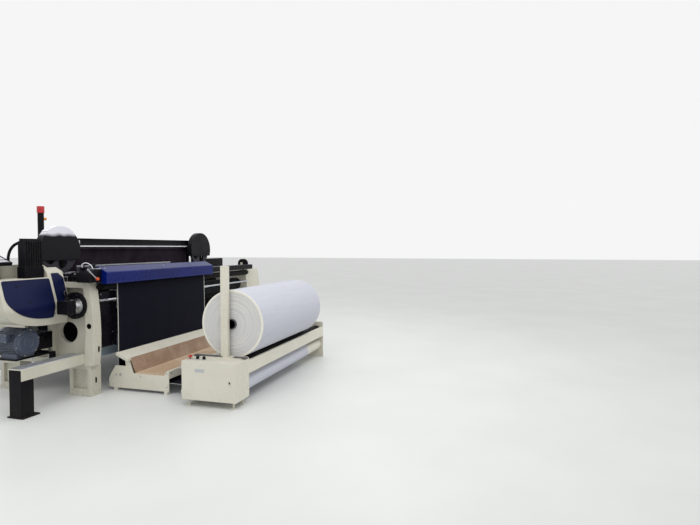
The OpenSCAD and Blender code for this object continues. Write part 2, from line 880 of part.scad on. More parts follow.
module wheel_guards() {
    color(black) {
        wheel_guard(left_wheel_x);
        wheel_guard(right_wheel_x);
    }
    wheel_at = [left_wheel_x, wheel_z];
    cap_z = wheel_z + guard_r * 0.8;
    reach = 2 * guard_r;
    color([0.88, 0.88, 0.88]) difference() {
        rod_y(wheel_y - guard_d / 2, wheel_y + guard_d / 2, wheel_at, guard_r + 2 * guard_wall);
        rod_y(wheel_y - guard_d, wheel_y + guard_d, wheel_at, guard_r + guard_wall);
        reach_x = [left_wheel_x - reach, left_wheel_x + reach];
        block(reach_x, [wheel_y - guard_d, wheel_y + guard_d], [wheel_z - reach, cap_z]);
    }
}

// Gripper head with the straight stretch of its tape
module rapier(x, toward) {
    color(steel) {
        tip = toward > 0 ? cloth_x0 - 6 : cloth_x1 + 6;
        tape = [min(x, tip - toward * 20), max(x, tip - toward * 20)];
        block(tape, [wheel_y - tape_w / 2, wheel_y + tape_w / 2], [tape_z - tape_t, tape_z]);
        base = tip - toward * head_l;
        along(wheel_y - head_w / 2, wheel_y + head_w / 2) polygon([
            [base, tape_z - tape_t],
            [base, tape_z - tape_t - 6],
            [tip - toward * 30, tape_z - tape_t - 6],
            [tip, tape_z - tape_t - 2],
            [tip, tape_z],
            [tip - toward * 70, tape_z + head_h - 8],
            [base + toward * 20, tape_z + head_h - 8]
        ]);
    }
}

module left_rapier() {
    rapier(left_wheel_x, 1);
}

module right_rapier() {
    rapier(right_wheel_x, -1);
}

// Rocking sley: beam, swords and rock shaft
sley_x0 = cloth_x0 + 5;
sley_x1 = cloth_x1 - 5;
module sley() {
    y0 = reed_y - 16;
    color(steel) {
        difference() {
            block([sley_x0, sley_x1], [y0, y0 + sley_d], [sley_top - 74, sley_top]);
            groove_z = [sley_top - 30, sley_top + eps];
            block([sley_x0 - eps, sley_x1 + eps], [reed_y, reed_y + reed_t], groove_z);
        }
        for (x = [sley_x0 + 60, (sley_x0 + sley_x1) / 2, sley_x1 - 60])
            across(x - 18, x + 18) polygon([
                [sley_pivot[0] - 34, sley_pivot[1]],
                [sley_pivot[0] + 34, sley_pivot[1]],
                [y0 + sley_d, sley_top - 70],
                [y0 + 8, sley_top - 70]
            ]);
        rod_x(left_in - seat_depth + gap, right_in + seat_depth - gap, sley_pivot, rock_r);
    }
}

// Comb of dents between two caps
module reed() {
    bottom = sley_top - 30;
    cap = 14;
    pitch = (sley_x1 - sley_x0 - 16) / dent_count;
    slit = pitch * 0.55;
    color([0.75, 0.76, 0.80]) along(reed_y, reed_y + reed_t) difference() {
        translate([sley_x0, bottom]) square([sley_x1 - sley_x0, reed_h + 30]);
        for (i = [0:dent_count - 1])
            translate([sley_x0 + 8 + i * pitch, bottom + 34]) square([slit, reed_h - 4 - cap]);
    }
}

// Heald frame: two rails, two stays and a row of heald wires with a gap at the warp line
module heald_frame(i) {
    z0 = heald_top - heald_h;
    y0 = heald_y + i * heald_pitch;
    inner = [heald_x0 + 40, heald_x1 - 40];
    pitch = (inner[1] - inner[0]) / heald_count;
    wire = 5;
    color([0.42, 0.36, 0.42]) along(y0, y0 + heald_t) difference() {
        translate([heald_x0, z0]) square([heald_x1 - heald_x0, heald_h]);
        for (k = [0:heald_count - 1])
            translate([inner[0] + k * pitch, z0 + heald_rail])
                square([pitch - wire, heald_h - 2 * heald_rail]);
    }
}

module heald_frame_1() {
    heald_frame(0);
}

module heald_frame_2() {
    heald_frame(1);
}

module heald_frame_3() {
    heald_frame(2);
}

module heald_frame_4() {
    heald_frame(3);
}

// Guard beam across the top of the harness, with a light edge below
module harness_top_beam() {
    y1 = heald_y - 20;
    x = [heald_x0 - gap - stand_w, heald_x1 + gap + stand_w];
    color(black) difference() {
        block(x, [y1 - 34, y1], [top_beam_z, top_beam_z + top_beam_h]);
        recess_z = [top_beam_z + 12, top_beam_z + top_beam_h - 12];
        block([x[0] + 12, x[1] - 12], [y1 - 34 - eps, y1 - 24], recess_z);
    }
    color(steel) block(x, [y1 - 30, y1 - 6], [top_beam_z - 14, top_beam_z]);
}

// Warp stop motion: a beam with rows of drop wires under the warp
module stop_motion() {
    y = [heald_y + 300, heald_y + 400];
    rows = 4;
    plate = 5;
    wires = 36;
    top = cloth_z - half_cloth;
    low = cloth_z - 100;
    beam_top = cloth_z - 120;
    color(steel) {
        block([left_in, right_in], y, [beam_top - 40, beam_top]);
        for (x = [warp_x0 - 30, warp_x1 + 12]) block([x, x + 18], y, [beam_top, top - 8]);
    }
    pitch = (warp_x1 - warp_x0) / wires;
    color([0.5, 0.5, 0.54]) for (k = [0:rows - 1])
        along(y[0] + 12 + k * 24, y[0] + 12 + k * 24 + plate) difference() {
            translate([warp_x0 - 12, low]) square([warp_x1 - warp_x0 + 24, top - low]);
            for (i = [0:wires - 1])
                translate([warp_x0 + i * pitch + 6, low + 24]) square([pitch - 12, top - low]);
        }
}

// Roller body with two journals that end in the side frames
module frame_roller(at, r, journal = journal_r) {
    rod_x(left_in + 20, right_in - 20, at, r);
    rod_x(left_in - seat_depth + gap, right_in + seat_depth - gap, at, journal);
}

module back_rest() {
    color(steel) frame_roller(back_rest_at, back_rest_r);
}

// Flanged beam; its gudgeons run in the side frames
module warp_beam() {
    gudgeon = journal_r * 2;
    color(steel) {
        rod_x(left_in + 30, right_in - 30, beam_at, beam_barrel_r);
        rod_x(left_in - seat_depth + gap, right_in + seat_depth - gap, beam_at, gudgeon);
        for (x = [warp_x0 - flange_t, warp_x1]) difference() {
            rod_x(x, x + flange_t, beam_at, flange_r);
            for (a = [0:60:300])
                rod_x(x - 1, x + flange_t + 1, beam_at + (flange_r - 40) * [cos(a), sin(a)], 16);
        }
    }
}

module warp_pack() {
    color(denim) difference() {
        rod_x(warp_x0 + gap, warp_x1 - gap, beam_at, warp_r);
        rod_x(warp_x0, warp_x1, beam_at, beam_barrel_r + gap);
    }
}

module warp_sheet() {
    color(denim) across(warp_x0 + 4, warp_x1 - 4) band(warp_course, cloth_t);
}

module cloth_web() {
    color(denim) across(cloth_x0, cloth_x1) band(cloth_course, cloth_t);
}

module breast_roller() {
    color(steel) frame_roller(breast, breast_r, breast_journal_r);
}

module take_up_roller() {
    color([0.35, 0.37, 0.38]) frame_roller(take_up, take_up_r);
}

module press_roller() {
    color(black) frame_roller(take_up + press_offset, press_r);
}

module turn_roller() {
    color(steel) frame_roller(turn, turn_r);
}

// Weft selector with its row of fingers, on the housing's tray, and its hose to the rim
hose_x = -1850;
hose_z = tray_z + 335;
hose_bend = 160;
hose_r = 14;
module weft_selector() {
    x0 = -1890;
    tray = tray_z;
    fins = 8;
    y = [300, 400];
    color(black) {
        block([x0, x0 + 200], y, [tray, tray + 110]);
        for (i = [0:fins - 1])
            block([x0 + 6 + i * 25, x0 + 18 + i * 25], y + [6, -6], [tray + 110, tray + 350]);
        block([x0, x0 + 200], y + [30, -30], [tray + 350, tray + 374]);
        translate([hose_x, y[1] - 6, hose_z - hose_bend]) rotate([0, 0, 90]) rotate([90, 0, 0])
            rotate_extrude(angle = 90) translate([hose_bend, 0]) circle(hose_r);
        rod_z(rim_top, hose_z - hose_bend, [hose_x, y[1] - 6 + hose_bend], hose_r);
    }
}

// Reel that winds the cut selvedge, on a post of the right frame
reel_r = 75;
reel_at = [80, frame_h + reel_r + 6];
module waste_reel() {
    x = right_out;
    color(black) {
        rod_x(x + 24, x + 84, reel_at, reel_r * 0.45);
        rod_x(x + 18, x + 24, reel_at, reel_r);
        rod_x(x + 84, x + 90, reel_at, reel_r);
        rod_x(x + 6, x + 18, reel_at, 12);
    }
}

// Cover of the drive side, with the columns' bulged front
right_cover_w = 345;
module right_end_cover() {
    x1 = right_out + right_cover_w;
    color(cream) difference() {
        across(right_out, x1) polygon(rounded([
            [column_y, frame_h - 4, 8],
            each [for (p = column_front) p - [0, 4 * (p[1] - foot_h) / (frame_h - foot_h), 0]],
            [620, foot_h, 40],
            [620, frame_h - 4, 40]
        ]));
        for (y = [200, 300]) block([x1 - 20, x1 + 1], [y, y + 40], [700, 1000]);
        across(x1 - 30, x1 + 1)
            polygon(rounded([[120, 620, 40], [120, 380, 40], [520, 380, 40], [520, 620, 40]]));
    }
    color(steel) {
        post_x = right_out + 6 - gap;
        block([right_out, post_x], [reel_at[0] - 20, reel_at[0] + 20], [frame_h - 4, reel_at[1] + 20]);
    }
}

// Hand lever at the top of the left column
lever_pivot = [left_out - 5, -138, frame_h + 36];
module brake_lever() {
    p = lever_pivot;
    color(steel) {
        translate(p) rotate([0, -50, 0]) cylinder(h = 150, r = 7);
        rod_y(p[1] - 6, bracket_y[0] - gap, [p[0], p[2]], 14);
    }
    color([0.9, 0.3, 0.1]) rod_y(p[1] - 20, p[1] - 6, [p[0], p[2]], 15);
}

// Platform: end panels, cross rails, front lip and the sloped board before the cloth
module platform_end(x) {
    board_z = incline_h;
    across(x, x + platform_wall) difference() {
        polygon([
            [platform_front, 30],
            [platform_front, deck_h + 50],
            [platform_front + 26, deck_h + 50],
            [platform_front + 60, deck_h],
            [incline_y, deck_h],
            [roller_under[0] - 70, 262],
            [roller_under[0] + 60, 262],
            [-8, 127],
            [-8, 40],
            [-40, 30]
        ]);
        translate(roller_under) circle(14 + gap);
    }
}

module platform_frame() {
    x0 = platform_x0;
    x1 = platform_x1;
    inner = [x0 + platform_wall, x1 - platform_wall];
    color(cream) {
        platform_end(x0);
        platform_end(x1 - platform_wall);
        block(inner, [platform_front, platform_front + 26], [deck_h - 30, deck_h + 50]);
        block(inner, [incline_y - 40, incline_y - 10], [deck_h - 34, deck_h - deck_t]);
        across(x0 - 30, x1 + 30) polygon([
            [incline_top_y, incline_h - board_t],
            [incline_top_y, incline_h],
            [board_back_y, board_h],
            [board_back_y, board_h - board_t]
        ]);
        for (x = [x0 + platform_wall, x1 - platform_wall - 20]) across(x, x + 20) polygon([
            [incline_y + 20, deck_h - 10],
            [roller_under[0] - 72, deck_h + 20],
            [incline_top_y + 60, incline_h - board_t + 18],
            [incline_top_y + 12, incline_h - board_t + 4]
        ]);
        for (x = [x0 + 20, x1 - 20], y = [platform_front + 40, -90])
            block([x - 20, x + 20], [y - 20, y + 20], [0, 32]);
    }
}

// Wooden deck and its darker incline
module platform_deck() {
    inner = [platform_x0 + platform_wall, platform_x1 - platform_wall];
    color([0.72, 0.58, 0.42]) {
        block(inner, [platform_front + 26, incline_y], [deck_h - deck_t, deck_h]);
        across(inner[0] + 20 + gap, inner[1] - 20 - gap) polygon([
            [incline_y, deck_h - deck_t],
            [incline_y, deck_h],
            [incline_top_y, incline_h],
            [incline_top_y, incline_h - deck_t * 2]
        ]);
    }
}

module platform_roller() {
    x0 = platform_x0 + platform_wall;
    x1 = platform_x1 - platform_wall;
    color(steel) {
        rod_x(x0 + 24, x1 - 24, roller_under, platform_roller_r);
        rod_x(x0 - platform_wall, x1 + platform_wall, roller_under, 14);
    }
}

// Hollow cabinet, open towards its door
module batcher_cabinet() {
    x = [cabinet_x0, cabinet_x1];
    y = [batcher_front, batcher_back];
    z = [cabinet_z, cabinet_h];
    color(cream) {
        difference() {
            block(x, y, z);
            block([x[0] - 1, x[1] - sheet_t], y + [sheet_t, -sheet_t], z + [sheet_t, -sheet_t]);
            for (ky = [knob_y[0], knob_y[1], button_y])
                rod_z(z[1] - 10, z[1] + 1, [control_x, ky], 7 + gap);
        }
        for (fx = [x[0] + 40, x[1] - 30], fy = [y[0] + 50, y[1] - 50]) {
            rod_z(0, 10, [fx, fy], 24);
            rod_z(8, cabinet_z + 2, [fx, fy], 10);
        }
        block([x[1] - 60, x[1] - sheet_t], [y[0] + 120, y[1] - 120], [z[0] + sheet_t, z[0] + 180]);
    }
}

control_x = cabinet_x0 + 90;
button_y = batcher_back - 30;
knob_y = [batcher_back - 110, batcher_back - 180];

module cabinet_door() {
    x = [cabinet_x0 - door_t - gap, cabinet_x0 - gap];
    latch_y = batcher_front + 60;
    color(cream) block(x, [batcher_front, batcher_back], [cabinet_z, cabinet_h]);
    color(black) block([x[0] - 4, x[0]], [latch_y - 15, latch_y + 15], [228, 273]);
}

// End plates, front channel and rear tie of the batcher
module batcher_plate(x, low, high) {
    across(x, x + plate_t) difference() {
        polygon(rounded([
            [batcher_front, low, 6],
            [batcher_back, low, 6],
            [batcher_back, high, 20],
            [batcher_front, high, 20]
        ]));
        for (at = [front_drive, rear_drive, lower]) translate(at) circle(journal_r + gap);
    }
}

module batcher_frame() {
    x0 = span_x0;
    x1 = span_x1;
    lip = 22;
    color(cream) {
        batcher_plate(cabinet_x1, cabinet_z, cabinet_h + 16);
        batcher_plate(x1, 0, cabinet_h + 48);
        difference() {
            block([x0, x1], [batcher_front, batcher_front + lip], [beam_z, beam_z + beam_h]);
            inner_z = [beam_z + 8, beam_z + beam_h - 8];
            block([x0 - 1, x1 + 1], [batcher_front + 8, batcher_front + lip + 1], inner_z);
        }
        block([x0, x1], [batcher_back - 40, batcher_back], [beam_z, beam_z + 80]);
        plate_y = [batcher_front + 40, batcher_back - 90];
        block([cabinet_x1 - 90, cabinet_x1], plate_y, [cabinet_h, cabinet_h + 8]);
    }
}

// Roller between the batcher's end plates
module batcher_roller(at, r) {
    rod_x(span_x0 + 4, span_x1 - 4, at, r);
    rod_x(cabinet_x1 + 1, span_x1 + plate_t, at, journal_r);
}

module front_drive_roller() {
    color([0.3, 0.3, 0.32]) batcher_roller(front_drive, drive_r);
}

module rear_drive_roller() {
    color([0.3, 0.3, 0.32]) batcher_roller(rear_drive, drive_r);
}

module lower_roller() {
    color(cream) batcher_roller(lower, lower_roller_r);
}

post_y = roll_at[0] + 8;
module guide_post() {
    x1 = cabinet_x1;
    top = roll_at[1] + roll_r + 235;
    wall = 4;
    color(cream) {
        difference() {
            block([x1 - 38, x1], [post_y, post_y + 76], [cabinet_h + 8, top]);
            inner_z = [cabinet_h + 60, top - wall];
            block([x1 - 38 + wall, x1 + 1], [post_y + wall, post_y + 76 - wall], inner_z);
        }
    }
}

// Wound cloth with its layers shown as shallow steps, on a core tube
module cloth_roll() {
    steps = 5;
    step_in = 3;
    color([0.90, 0.90, 0.90]) difference() {
        union() {
            for (i = [0:steps - 1]) {
                inset = step_in * (steps - 1 - i) / 2;
                r = roll_r - i * 50;
                rod_x(cloth_x0 + inset, cloth_x1 - inset, roll_at, r);
            }
        }
        rod_x(cloth_x0 - 1, cloth_x1 + 1, roll_at, core_r - 2);
    }
    color([0.45, 0.46, 0.5]) difference() {
        rod_x(cloth_x0 - 16, cloth_x1 + 16, roll_at, core_r);
        rod_x(cloth_x0 - 17, cloth_x1 + 17, roll_at, core_r - 8);
    }
}

module knob(y) {
    color(black) {
        rod_z(cabinet_h + gap, cabinet_h + 22, [control_x, y], 15);
        rod_z(cabinet_h - 8, cabinet_h + 10, [control_x, y], 7);
        block([control_x - 3, control_x + 3], [y - 14, y + 14], [cabinet_h + 20, cabinet_h + 30]);
    }
}

module left_knob() {
    knob(knob_y[0]);
}

module right_knob() {
    knob(knob_y[1]);
}

module stop_button() {
    color([0.8, 0.1, 0.1]) {
        rod_z(cabinet_h + 18, cabinet_h + 32, [control_x, button_y], 20);
        rod_z(cabinet_h - 8, cabinet_h + 20, [control_x, button_y], 7);
    }
}

left_frame();
right_frame();
feet();
cross_beams();
harness_stand();
cloth_table();
front_cover();
cover_brackets();
guide_bar();
take_up_motor();
left_end_housing();
navy_panels();
main_motor();
step_beam();
step_post();
terminal();
terminal_arm();
signal_tower();
left_gear_box();
right_gear_box();
left_rapier_wheel();
right_rapier_wheel();
wheel_guards();
left_rapier();
right_rapier();
sley();
reed();
heald_frame_1();
heald_frame_2();
heald_frame_3();
heald_frame_4();
harness_top_beam();
stop_motion();
back_rest();
warp_beam();
warp_pack();
warp_sheet();
cloth_web();
breast_roller();
take_up_roller();
press_roller();
turn_roller();
weft_selector();
waste_reel();
right_end_cover();
brake_lever();
platform_frame();
platform_deck();
platform_roller();
batcher_cabinet();
cabinet_door();
batcher_frame();
front_drive_roller();
rear_drive_roller();
lower_roller();
guide_post();
cloth_roll();
stop_button();
left_knob();
right_knob();
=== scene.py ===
import math
import random

import bmesh
import bpy
from mathutils import Matrix, Vector


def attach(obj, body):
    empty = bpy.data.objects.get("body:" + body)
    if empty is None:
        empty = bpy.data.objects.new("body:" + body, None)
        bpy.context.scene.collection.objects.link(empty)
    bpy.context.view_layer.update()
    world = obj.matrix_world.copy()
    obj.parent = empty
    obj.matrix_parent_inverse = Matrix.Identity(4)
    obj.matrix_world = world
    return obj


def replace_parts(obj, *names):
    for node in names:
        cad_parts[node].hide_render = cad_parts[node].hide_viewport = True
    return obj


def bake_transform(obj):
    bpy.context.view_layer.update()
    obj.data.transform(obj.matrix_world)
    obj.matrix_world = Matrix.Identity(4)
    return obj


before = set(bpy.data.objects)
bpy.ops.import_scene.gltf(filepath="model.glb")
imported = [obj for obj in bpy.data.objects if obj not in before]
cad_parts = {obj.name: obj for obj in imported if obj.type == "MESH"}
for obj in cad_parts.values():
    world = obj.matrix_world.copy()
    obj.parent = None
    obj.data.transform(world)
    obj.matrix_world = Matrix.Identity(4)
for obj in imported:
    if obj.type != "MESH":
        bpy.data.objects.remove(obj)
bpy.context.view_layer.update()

print("frame loaded:", len(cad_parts), "solids")


def rgb(red, green, blue):
    # screen values of 0 to 255 to the linear colour that shaders want
    def linear(value):
        value /= 255
        return value / 12.92 if value <= 0.04045 else ((value + 0.055) / 1.055) ** 2.4
    return (linear(red), linear(green), linear(blue), 1.0)


# node helpers
def fill(tree, node, sockets):
    # inputs set to values or linked; a list of sockets goes into one input together
    for key, value in sockets.items():
        for each in value if isinstance(value, list) else [value]:
            if isinstance(each, bpy.types.NodeSocket):
                tree.links.new(each, node.inputs[key])
            else:
                node.inputs[key].default_value = each


def put(tree, kind, sockets=None, out=0, **settings):
    # a new node, of which one output is given back
    made = tree.nodes.new(kind)
    for key, value in settings.items():
        setattr(made, key, value)
    fill(tree, made, sockets or {})
    return None if out is None else made.outputs[out]


def calc(tree, kind, *values):
    return put(tree, "ShaderNodeMath", dict(enumerate(values)), operation=kind)


class Surface:
    # a material whose tree is built by short calls
    def __init__(self, name):
        self.material = bpy.data.materials.new(name)
        self.material.use_nodes = True
        self.tree = self.material.node_tree
        self.place = self.put("ShaderNodeTexCoord", out="Object")

    def put(self, kind, sockets=None, out=0, **settings):
        return put(self.tree, kind, sockets, out, **settings)

    def calc(self, kind, *values):
        return calc(self.tree, kind, *values)

    def times(self, first, second):
        return self.calc("MULTIPLY", first, second)

    def along(self, axis, place=None):
        return self.put("ShaderNodeSeparateXYZ", {"Vector": place or self.place}, axis)

    def grain(self, scale, detail=3.0, rough=0.55, stretch=None, place=None):
        place = place or self.place
        if stretch:
            place = self.put("ShaderNodeMapping", {"Vector": place, "Scale": stretch})
        return self.put("ShaderNodeTexNoise",
                        {"Vector": place, "Scale": scale, "Detail": detail, "Roughness": rough})

    def span(self, value, low, high, toLow=0.0, toHigh=1.0):
        return self.put("ShaderNodeMapRange", {"Value": value, "From Min": low, "From Max": high,
                                               "To Min": toLow, "To Max": toHigh})

    def mixed(self, factor, *colours):
        first, second = (rgb(*each) if isinstance(each, tuple) else each for each in colours)
        return self.put("ShaderNodeMix", {0: factor, 6: first, 7: second}, 2, data_type="RGBA")

    def corners(self, reach, inside=False):
        # 0 in the open, 1 in a corner, or on an edge if seen from inside
        near = self.put("ShaderNodeAmbientOcclusion", {"Distance": reach}, "AO", samples=5, inside=inside,
                        only_local=True)
        return self.calc("SUBTRACT", 1.0, near)

    def close(self, colour, rough, bump=None, **others):
        # bump is (height, strength, depth); others are further inputs, with _ for a space
        given = {"Base Color": colour, "Roughness": rough}
        if bump:
            given["Normal"] = self.put("ShaderNodeBump", dict(zip(("Height", "Strength", "Distance"), bump)))
        given.update((key.replace("_", " "), value) for key, value in others.items())
        fill(self.tree, self.tree.nodes["Principled BSDF"], given)
        return self.material


paintWork = {"cloudScale": 2.6, "spotScale": 38, "peelScale": 160.0, "peelDepth": 0.0006, "grimeAndShadeReach": 0.045,
             "edgeReach": 0.006, "dustHeight": 0.32, "dirtAndShade": (88, 80, 68)}


def paint(name, colour, shade, rough, grimeAndShade, wear, wearAmount=0.5, peel=0.25, dust=0.35, gloss=0.5):
    # sprayed enamel: clouds of tone, dirt and painted shade in the corners, worn edges, dust low down
    s, w = Surface(name), paintWork
    spots = s.grain(w["spotScale"], 4, 0.7)
    tone = s.mixed(s.span(s.grain(w["cloudScale"], 5), 0.35, 0.68), colour, shade)
    # dirt and painted shade: corners found by ambient occlusion take the dirt colour in spots
    dirtAndShade = s.times(s.span(s.corners(w["grimeAndShadeReach"]), 0.12, 0.85), s.span(spots, 0.3, 0.62))
    low = s.times(s.span(s.along("Z"), w["dustHeight"], 0.0, 0.0, dust), s.span(spots, 0.42, 0.66))
    tone = s.mixed(s.calc("MAXIMUM", s.times(dirtAndShade, grimeAndShade), low), tone, w["dirtAndShade"])
    edge = s.times(s.span(s.corners(w["edgeReach"], True), 0.25, 0.6), s.span(spots, 0.45, 0.6))
    tone = s.mixed(s.times(edge, wearAmount), tone, wear)
    return s.close(tone, s.span(spots, 0.3, 0.7, *rough), (s.grain(w["peelScale"], 2), peel, w["peelDepth"]),
                   Specular_IOR_Level=gloss)


metalWork = {"stretch": (1.0, 60.0, 60.0), "dirtAndShadeReach": 0.02, "dirtAndShade": (40, 37, 34), "lines": 0.3, "depth": 0.0004}


def bareMetal(name, colour, shade, rough=(0.2, 0.42), metallic=1.0, gloss=0.5):
    # turned or drawn metal: fine lines along one axis, smears of oil, dirt and painted shade in the corners
    s, w = Surface(name), metalWork
    streak, smear = s.grain(9, 4, 0.6, w["stretch"]), s.grain(5, 4)
    tone = s.mixed(s.span(smear, 0.35, 0.7), colour, shade)
    # dirt and painted shade: corners found by ambient occlusion darken towards a dark brown
    tone = s.mixed(s.span(s.corners(w["dirtAndShadeReach"]), 0.3, 1.0, 0.0, 0.6), tone, w["dirtAndShade"])
    return s.close(tone, s.span(s.calc("ADD", streak, smear), 0.7, 1.3, *rough), (streak, w["lines"], w["depth"]),
                   Metallic=metallic, Specular_IOR_Level=gloss)


plasticWork = {"dustAndShadeReach": 0.03, "dustAndShadeScale": 70, "dust": (120, 118, 122), "depth": 0.0003}


def plastic(name, colour, shade, rough=(0.35, 0.5), grainScale=420, grainAmount=0.25, coat=0.0, gloss=0.5):
    # moulded or covered: fine grain, dust and painted shade in the corners
    s, w = Surface(name), plasticWork
    cloud = s.grain(6, 4)
    # dust and painted shade: corners found by ambient occlusion take a grey in spots
    dust = s.times(s.span(s.corners(w["dustAndShadeReach"]), 0.25, 0.9), s.span(s.grain(w["dustAndShadeScale"], 5), 0.48, 0.64))
    tone = s.mixed(s.times(dust, 0.4), s.mixed(s.span(cloud, 0.35, 0.7), colour, shade), w["dust"])
    return s.close(tone, s.span(cloud, 0.3, 0.7, *rough), (s.grain(grainScale, 2), grainAmount, w["depth"]),
                   Coat_Weight=coat, Specular_IOR_Level=gloss)


cream = paint("creamEnamel", (204, 201, 187), (191, 188, 173), (0.34, 0.5), 0.45, (150, 146, 134), 0.35, 0.12, 0.25)
creamClean = paint("cabinetEnamel", (219, 216, 202), (212, 208, 193), (0.3, 0.42), 0.2, (176, 172, 158), 0.2, 0.08,
                   0.1)
navyPaint = paint("navyEnamel", (19, 27, 66), (14, 21, 55), (0.28, 0.4), 0.2, (74, 86, 126), 0.12, 0.08, 0.0, 0.12)
bluePaint = paint("blueEnamel", (8, 26, 104), (5, 20, 88), (0.2, 0.3), 0.1, (70, 104, 178), 0.06, 0.05, 0.0, 0.2)
blackPaint = paint("blackEnamel", (19, 18, 23), (12, 11, 16), (0.34, 0.52), 0.3, (92, 90, 90), 0.5, 0.12, 0.15, 0.1)
greyPaint = paint("greyEnamel", (158, 172, 182), (140, 154, 166), (0.32, 0.5), 0.5, (120, 124, 126))
motorPaint = paint("motorEnamel", (80, 90, 110), (62, 70, 88), (0.3, 0.46), 0.7, (150, 154, 158))
steel = bareMetal("brightSteel", (206, 208, 212), (186, 188, 194))
darkSteel = bareMetal("oiledSteel", (112, 112, 116), (84, 84, 90), (0.28, 0.5))
alloy = bareMetal("drawnAlloy", (198, 200, 204), (178, 181, 186), (0.3, 0.5), 0.85)
healdMetal = bareMetal("healdRail", (74, 62, 74), (56, 46, 58), (0.5, 0.68), 0.3, 0.15)
healdWire = bareMetal("healdWire", (50, 42, 51), (36, 30, 39), (0.7, 0.85), 0.0, 0.05)
wheelShell = bareMetal("wheelShell", (60, 58, 66), (42, 41, 49), (0.4, 0.6), 0.5, 0.3)
blackPlastic = plastic("blackPlastic", (21, 20, 25), (14, 13, 18), gloss=0.12)
palePlastic = plastic("palePlastic", (226, 226, 230), (208, 209, 215), (0.22, 0.36), coat=0.3)
redPlastic = plastic("redPlastic", (190, 24, 28), (166, 18, 24), (0.22, 0.34), coat=0.3)
amberPlastic = plastic("amberPlastic", (226, 150, 40), (206, 130, 30), (0.22, 0.34), coat=0.3)
orangePlastic = plastic("orangePlastic", (226, 92, 44), (206, 78, 36), (0.3, 0.42))
emery = plastic("emeryCover", (38, 37, 40), (28, 27, 30), (0.75, 0.9), 900, 0.6, gloss=0.1)
rubber = plastic("rubber", (17, 17, 19), (25, 24, 26), (0.6, 0.8), 260, 0.5, gloss=0.1)


def yarn(name, dark, light, stretch, count):
    # parallel yarns: light and dark ends side by side, softened by clouds
    s = Surface(name)
    ends = s.grain(count, 2, 0.6, (1.0, stretch, stretch))
    tone = s.mixed(s.span(ends, 0.36, 0.64), dark, light)
    tone = s.mixed(s.span(s.grain(5, 4), 0.4, 0.75, 0.0, 0.4), tone, dark)
    return s.close(tone, s.span(ends, 0.3, 0.7, 0.72, 0.86), (ends, 0.5, 0.0006), Sheen_Weight=0.2)


indigoYarn = yarn("indigoWarp", (14, 15, 34), (34, 36, 66), 0.02, 420)
whiteYarn = yarn("selvedgeYarn", (196, 194, 188), (222, 220, 214), 1.0, 300)

denim = {"width": 1.63, "selvedge": 0.009, "twillPitch": 0.0011, "lean": 0.58, "streakScale": 22.0,
         "thickness": 0.0012}


def denimMaterial(name, ground, thread, edge, twillMix, sheen):
    # twill lines run diagonally over the piece's own width and length, in metres
    s, d = Surface(name), denim
    flat = s.put("ShaderNodeUVMap", uv_map="flat")
    wide = s.along("X", flat)
    lean = s.calc("ADD", wide, s.times(s.along("Y", flat), d["lean"]))
    wale = s.calc("SINE", s.times(lean, 2 * math.pi / d["twillPitch"]), 0.0)
    fuzz = s.grain(900, 2, 0.7, place=flat)
    streak = s.grain(d["streakScale"], 5, 0.65, (6.0, 0.35, 1.0), flat)
    bars = s.grain(7.0, 3, 0.6, (0.3, 5.0, 1.0), flat)
    weave = s.calc("ADD", wale, fuzz)
    tone = s.mixed(s.span(weave, -0.6, 1.5, 0.0, twillMix), ground, thread)
    tone = s.mixed(s.span(streak, 0.36, 0.7, 0.0, 0.5), tone, s.mixed(0.5, ground, tone))
    tone = s.mixed(s.span(bars, 0.45, 0.75, 0.0, 0.18), tone, thread)
    inset = s.calc("MINIMUM", wide, s.calc("SUBTRACT", d["width"], wide))
    tone = s.mixed(s.span(inset, d["selvedge"], d["selvedge"] * 0.75), tone, edge)
    return s.close(tone, s.span(fuzz, 0.3, 0.7, 0.68, 0.86), (weave, 0.35, 0.0003),
                   Specular_IOR_Level=0.12, Sheen_Weight=sheen, Sheen_Roughness=0.5)


denimFace = denimMaterial("denimFace", (7, 7, 19), (19, 21, 44), (204, 203, 196), 0.4, 0.0)
denimBack = denimMaterial("denimBack", (206, 207, 214), (150, 156, 182), (226, 225, 218), 0.45, 0.15)

clothRoll = {"at": (-1.448, 0.750), "radius": 0.332, "core": 0.050, "low": -1.180, "high": 0.450,
             "rim": 0.022, "telescope": 0.0018, "coreReach": 0.016, "coreWall": 0.0075, "layer": 0.0045,
             "edge": 0.0035, "waves": 14}


def rollEndMaterial():
    # edges of wound layers: rings by radius, a paler rim, a slight tint by batch
    s, c = Surface("rollEnds"), clothRoll
    sides = [s.calc("SUBTRACT", s.along(axis), middle) for axis, middle in zip("YZ", c["at"])]
    reach = s.calc("SQRT", s.calc("ADD", *(s.times(side, side) for side in sides)), 0.0)
    fine, batch = (s.put("ShaderNodeTexNoise", {"W": s.times(reach, scale), "Scale": 1.0, "Detail": detail},
                         noise_dimensions="1D") for scale, detail in ((420, 2.0), (38, 4.0)))
    tone = s.mixed(s.span(batch, 0.34, 0.66), (203, 203, 203), (217, 215, 209))
    tone = s.mixed(s.span(fine, 0.35, 0.65, 0.0, 0.22), tone, (180, 182, 188))
    tone = s.mixed(s.span(s.grain(7, 4), 0.4, 0.8, 0.0, 0.3), tone, (188, 189, 195))
    tone = s.mixed(s.span(reach, c["radius"] - c["rim"], c["radius"] - c["rim"] * 0.7), tone, (232, 229, 216))
    return s.close(tone, 0.85, (s.calc("ADD", fine, s.grain(500, 2)), 0.4, 0.0008), Sheen_Weight=0.2)


rollEnds = rollEndMaterial()


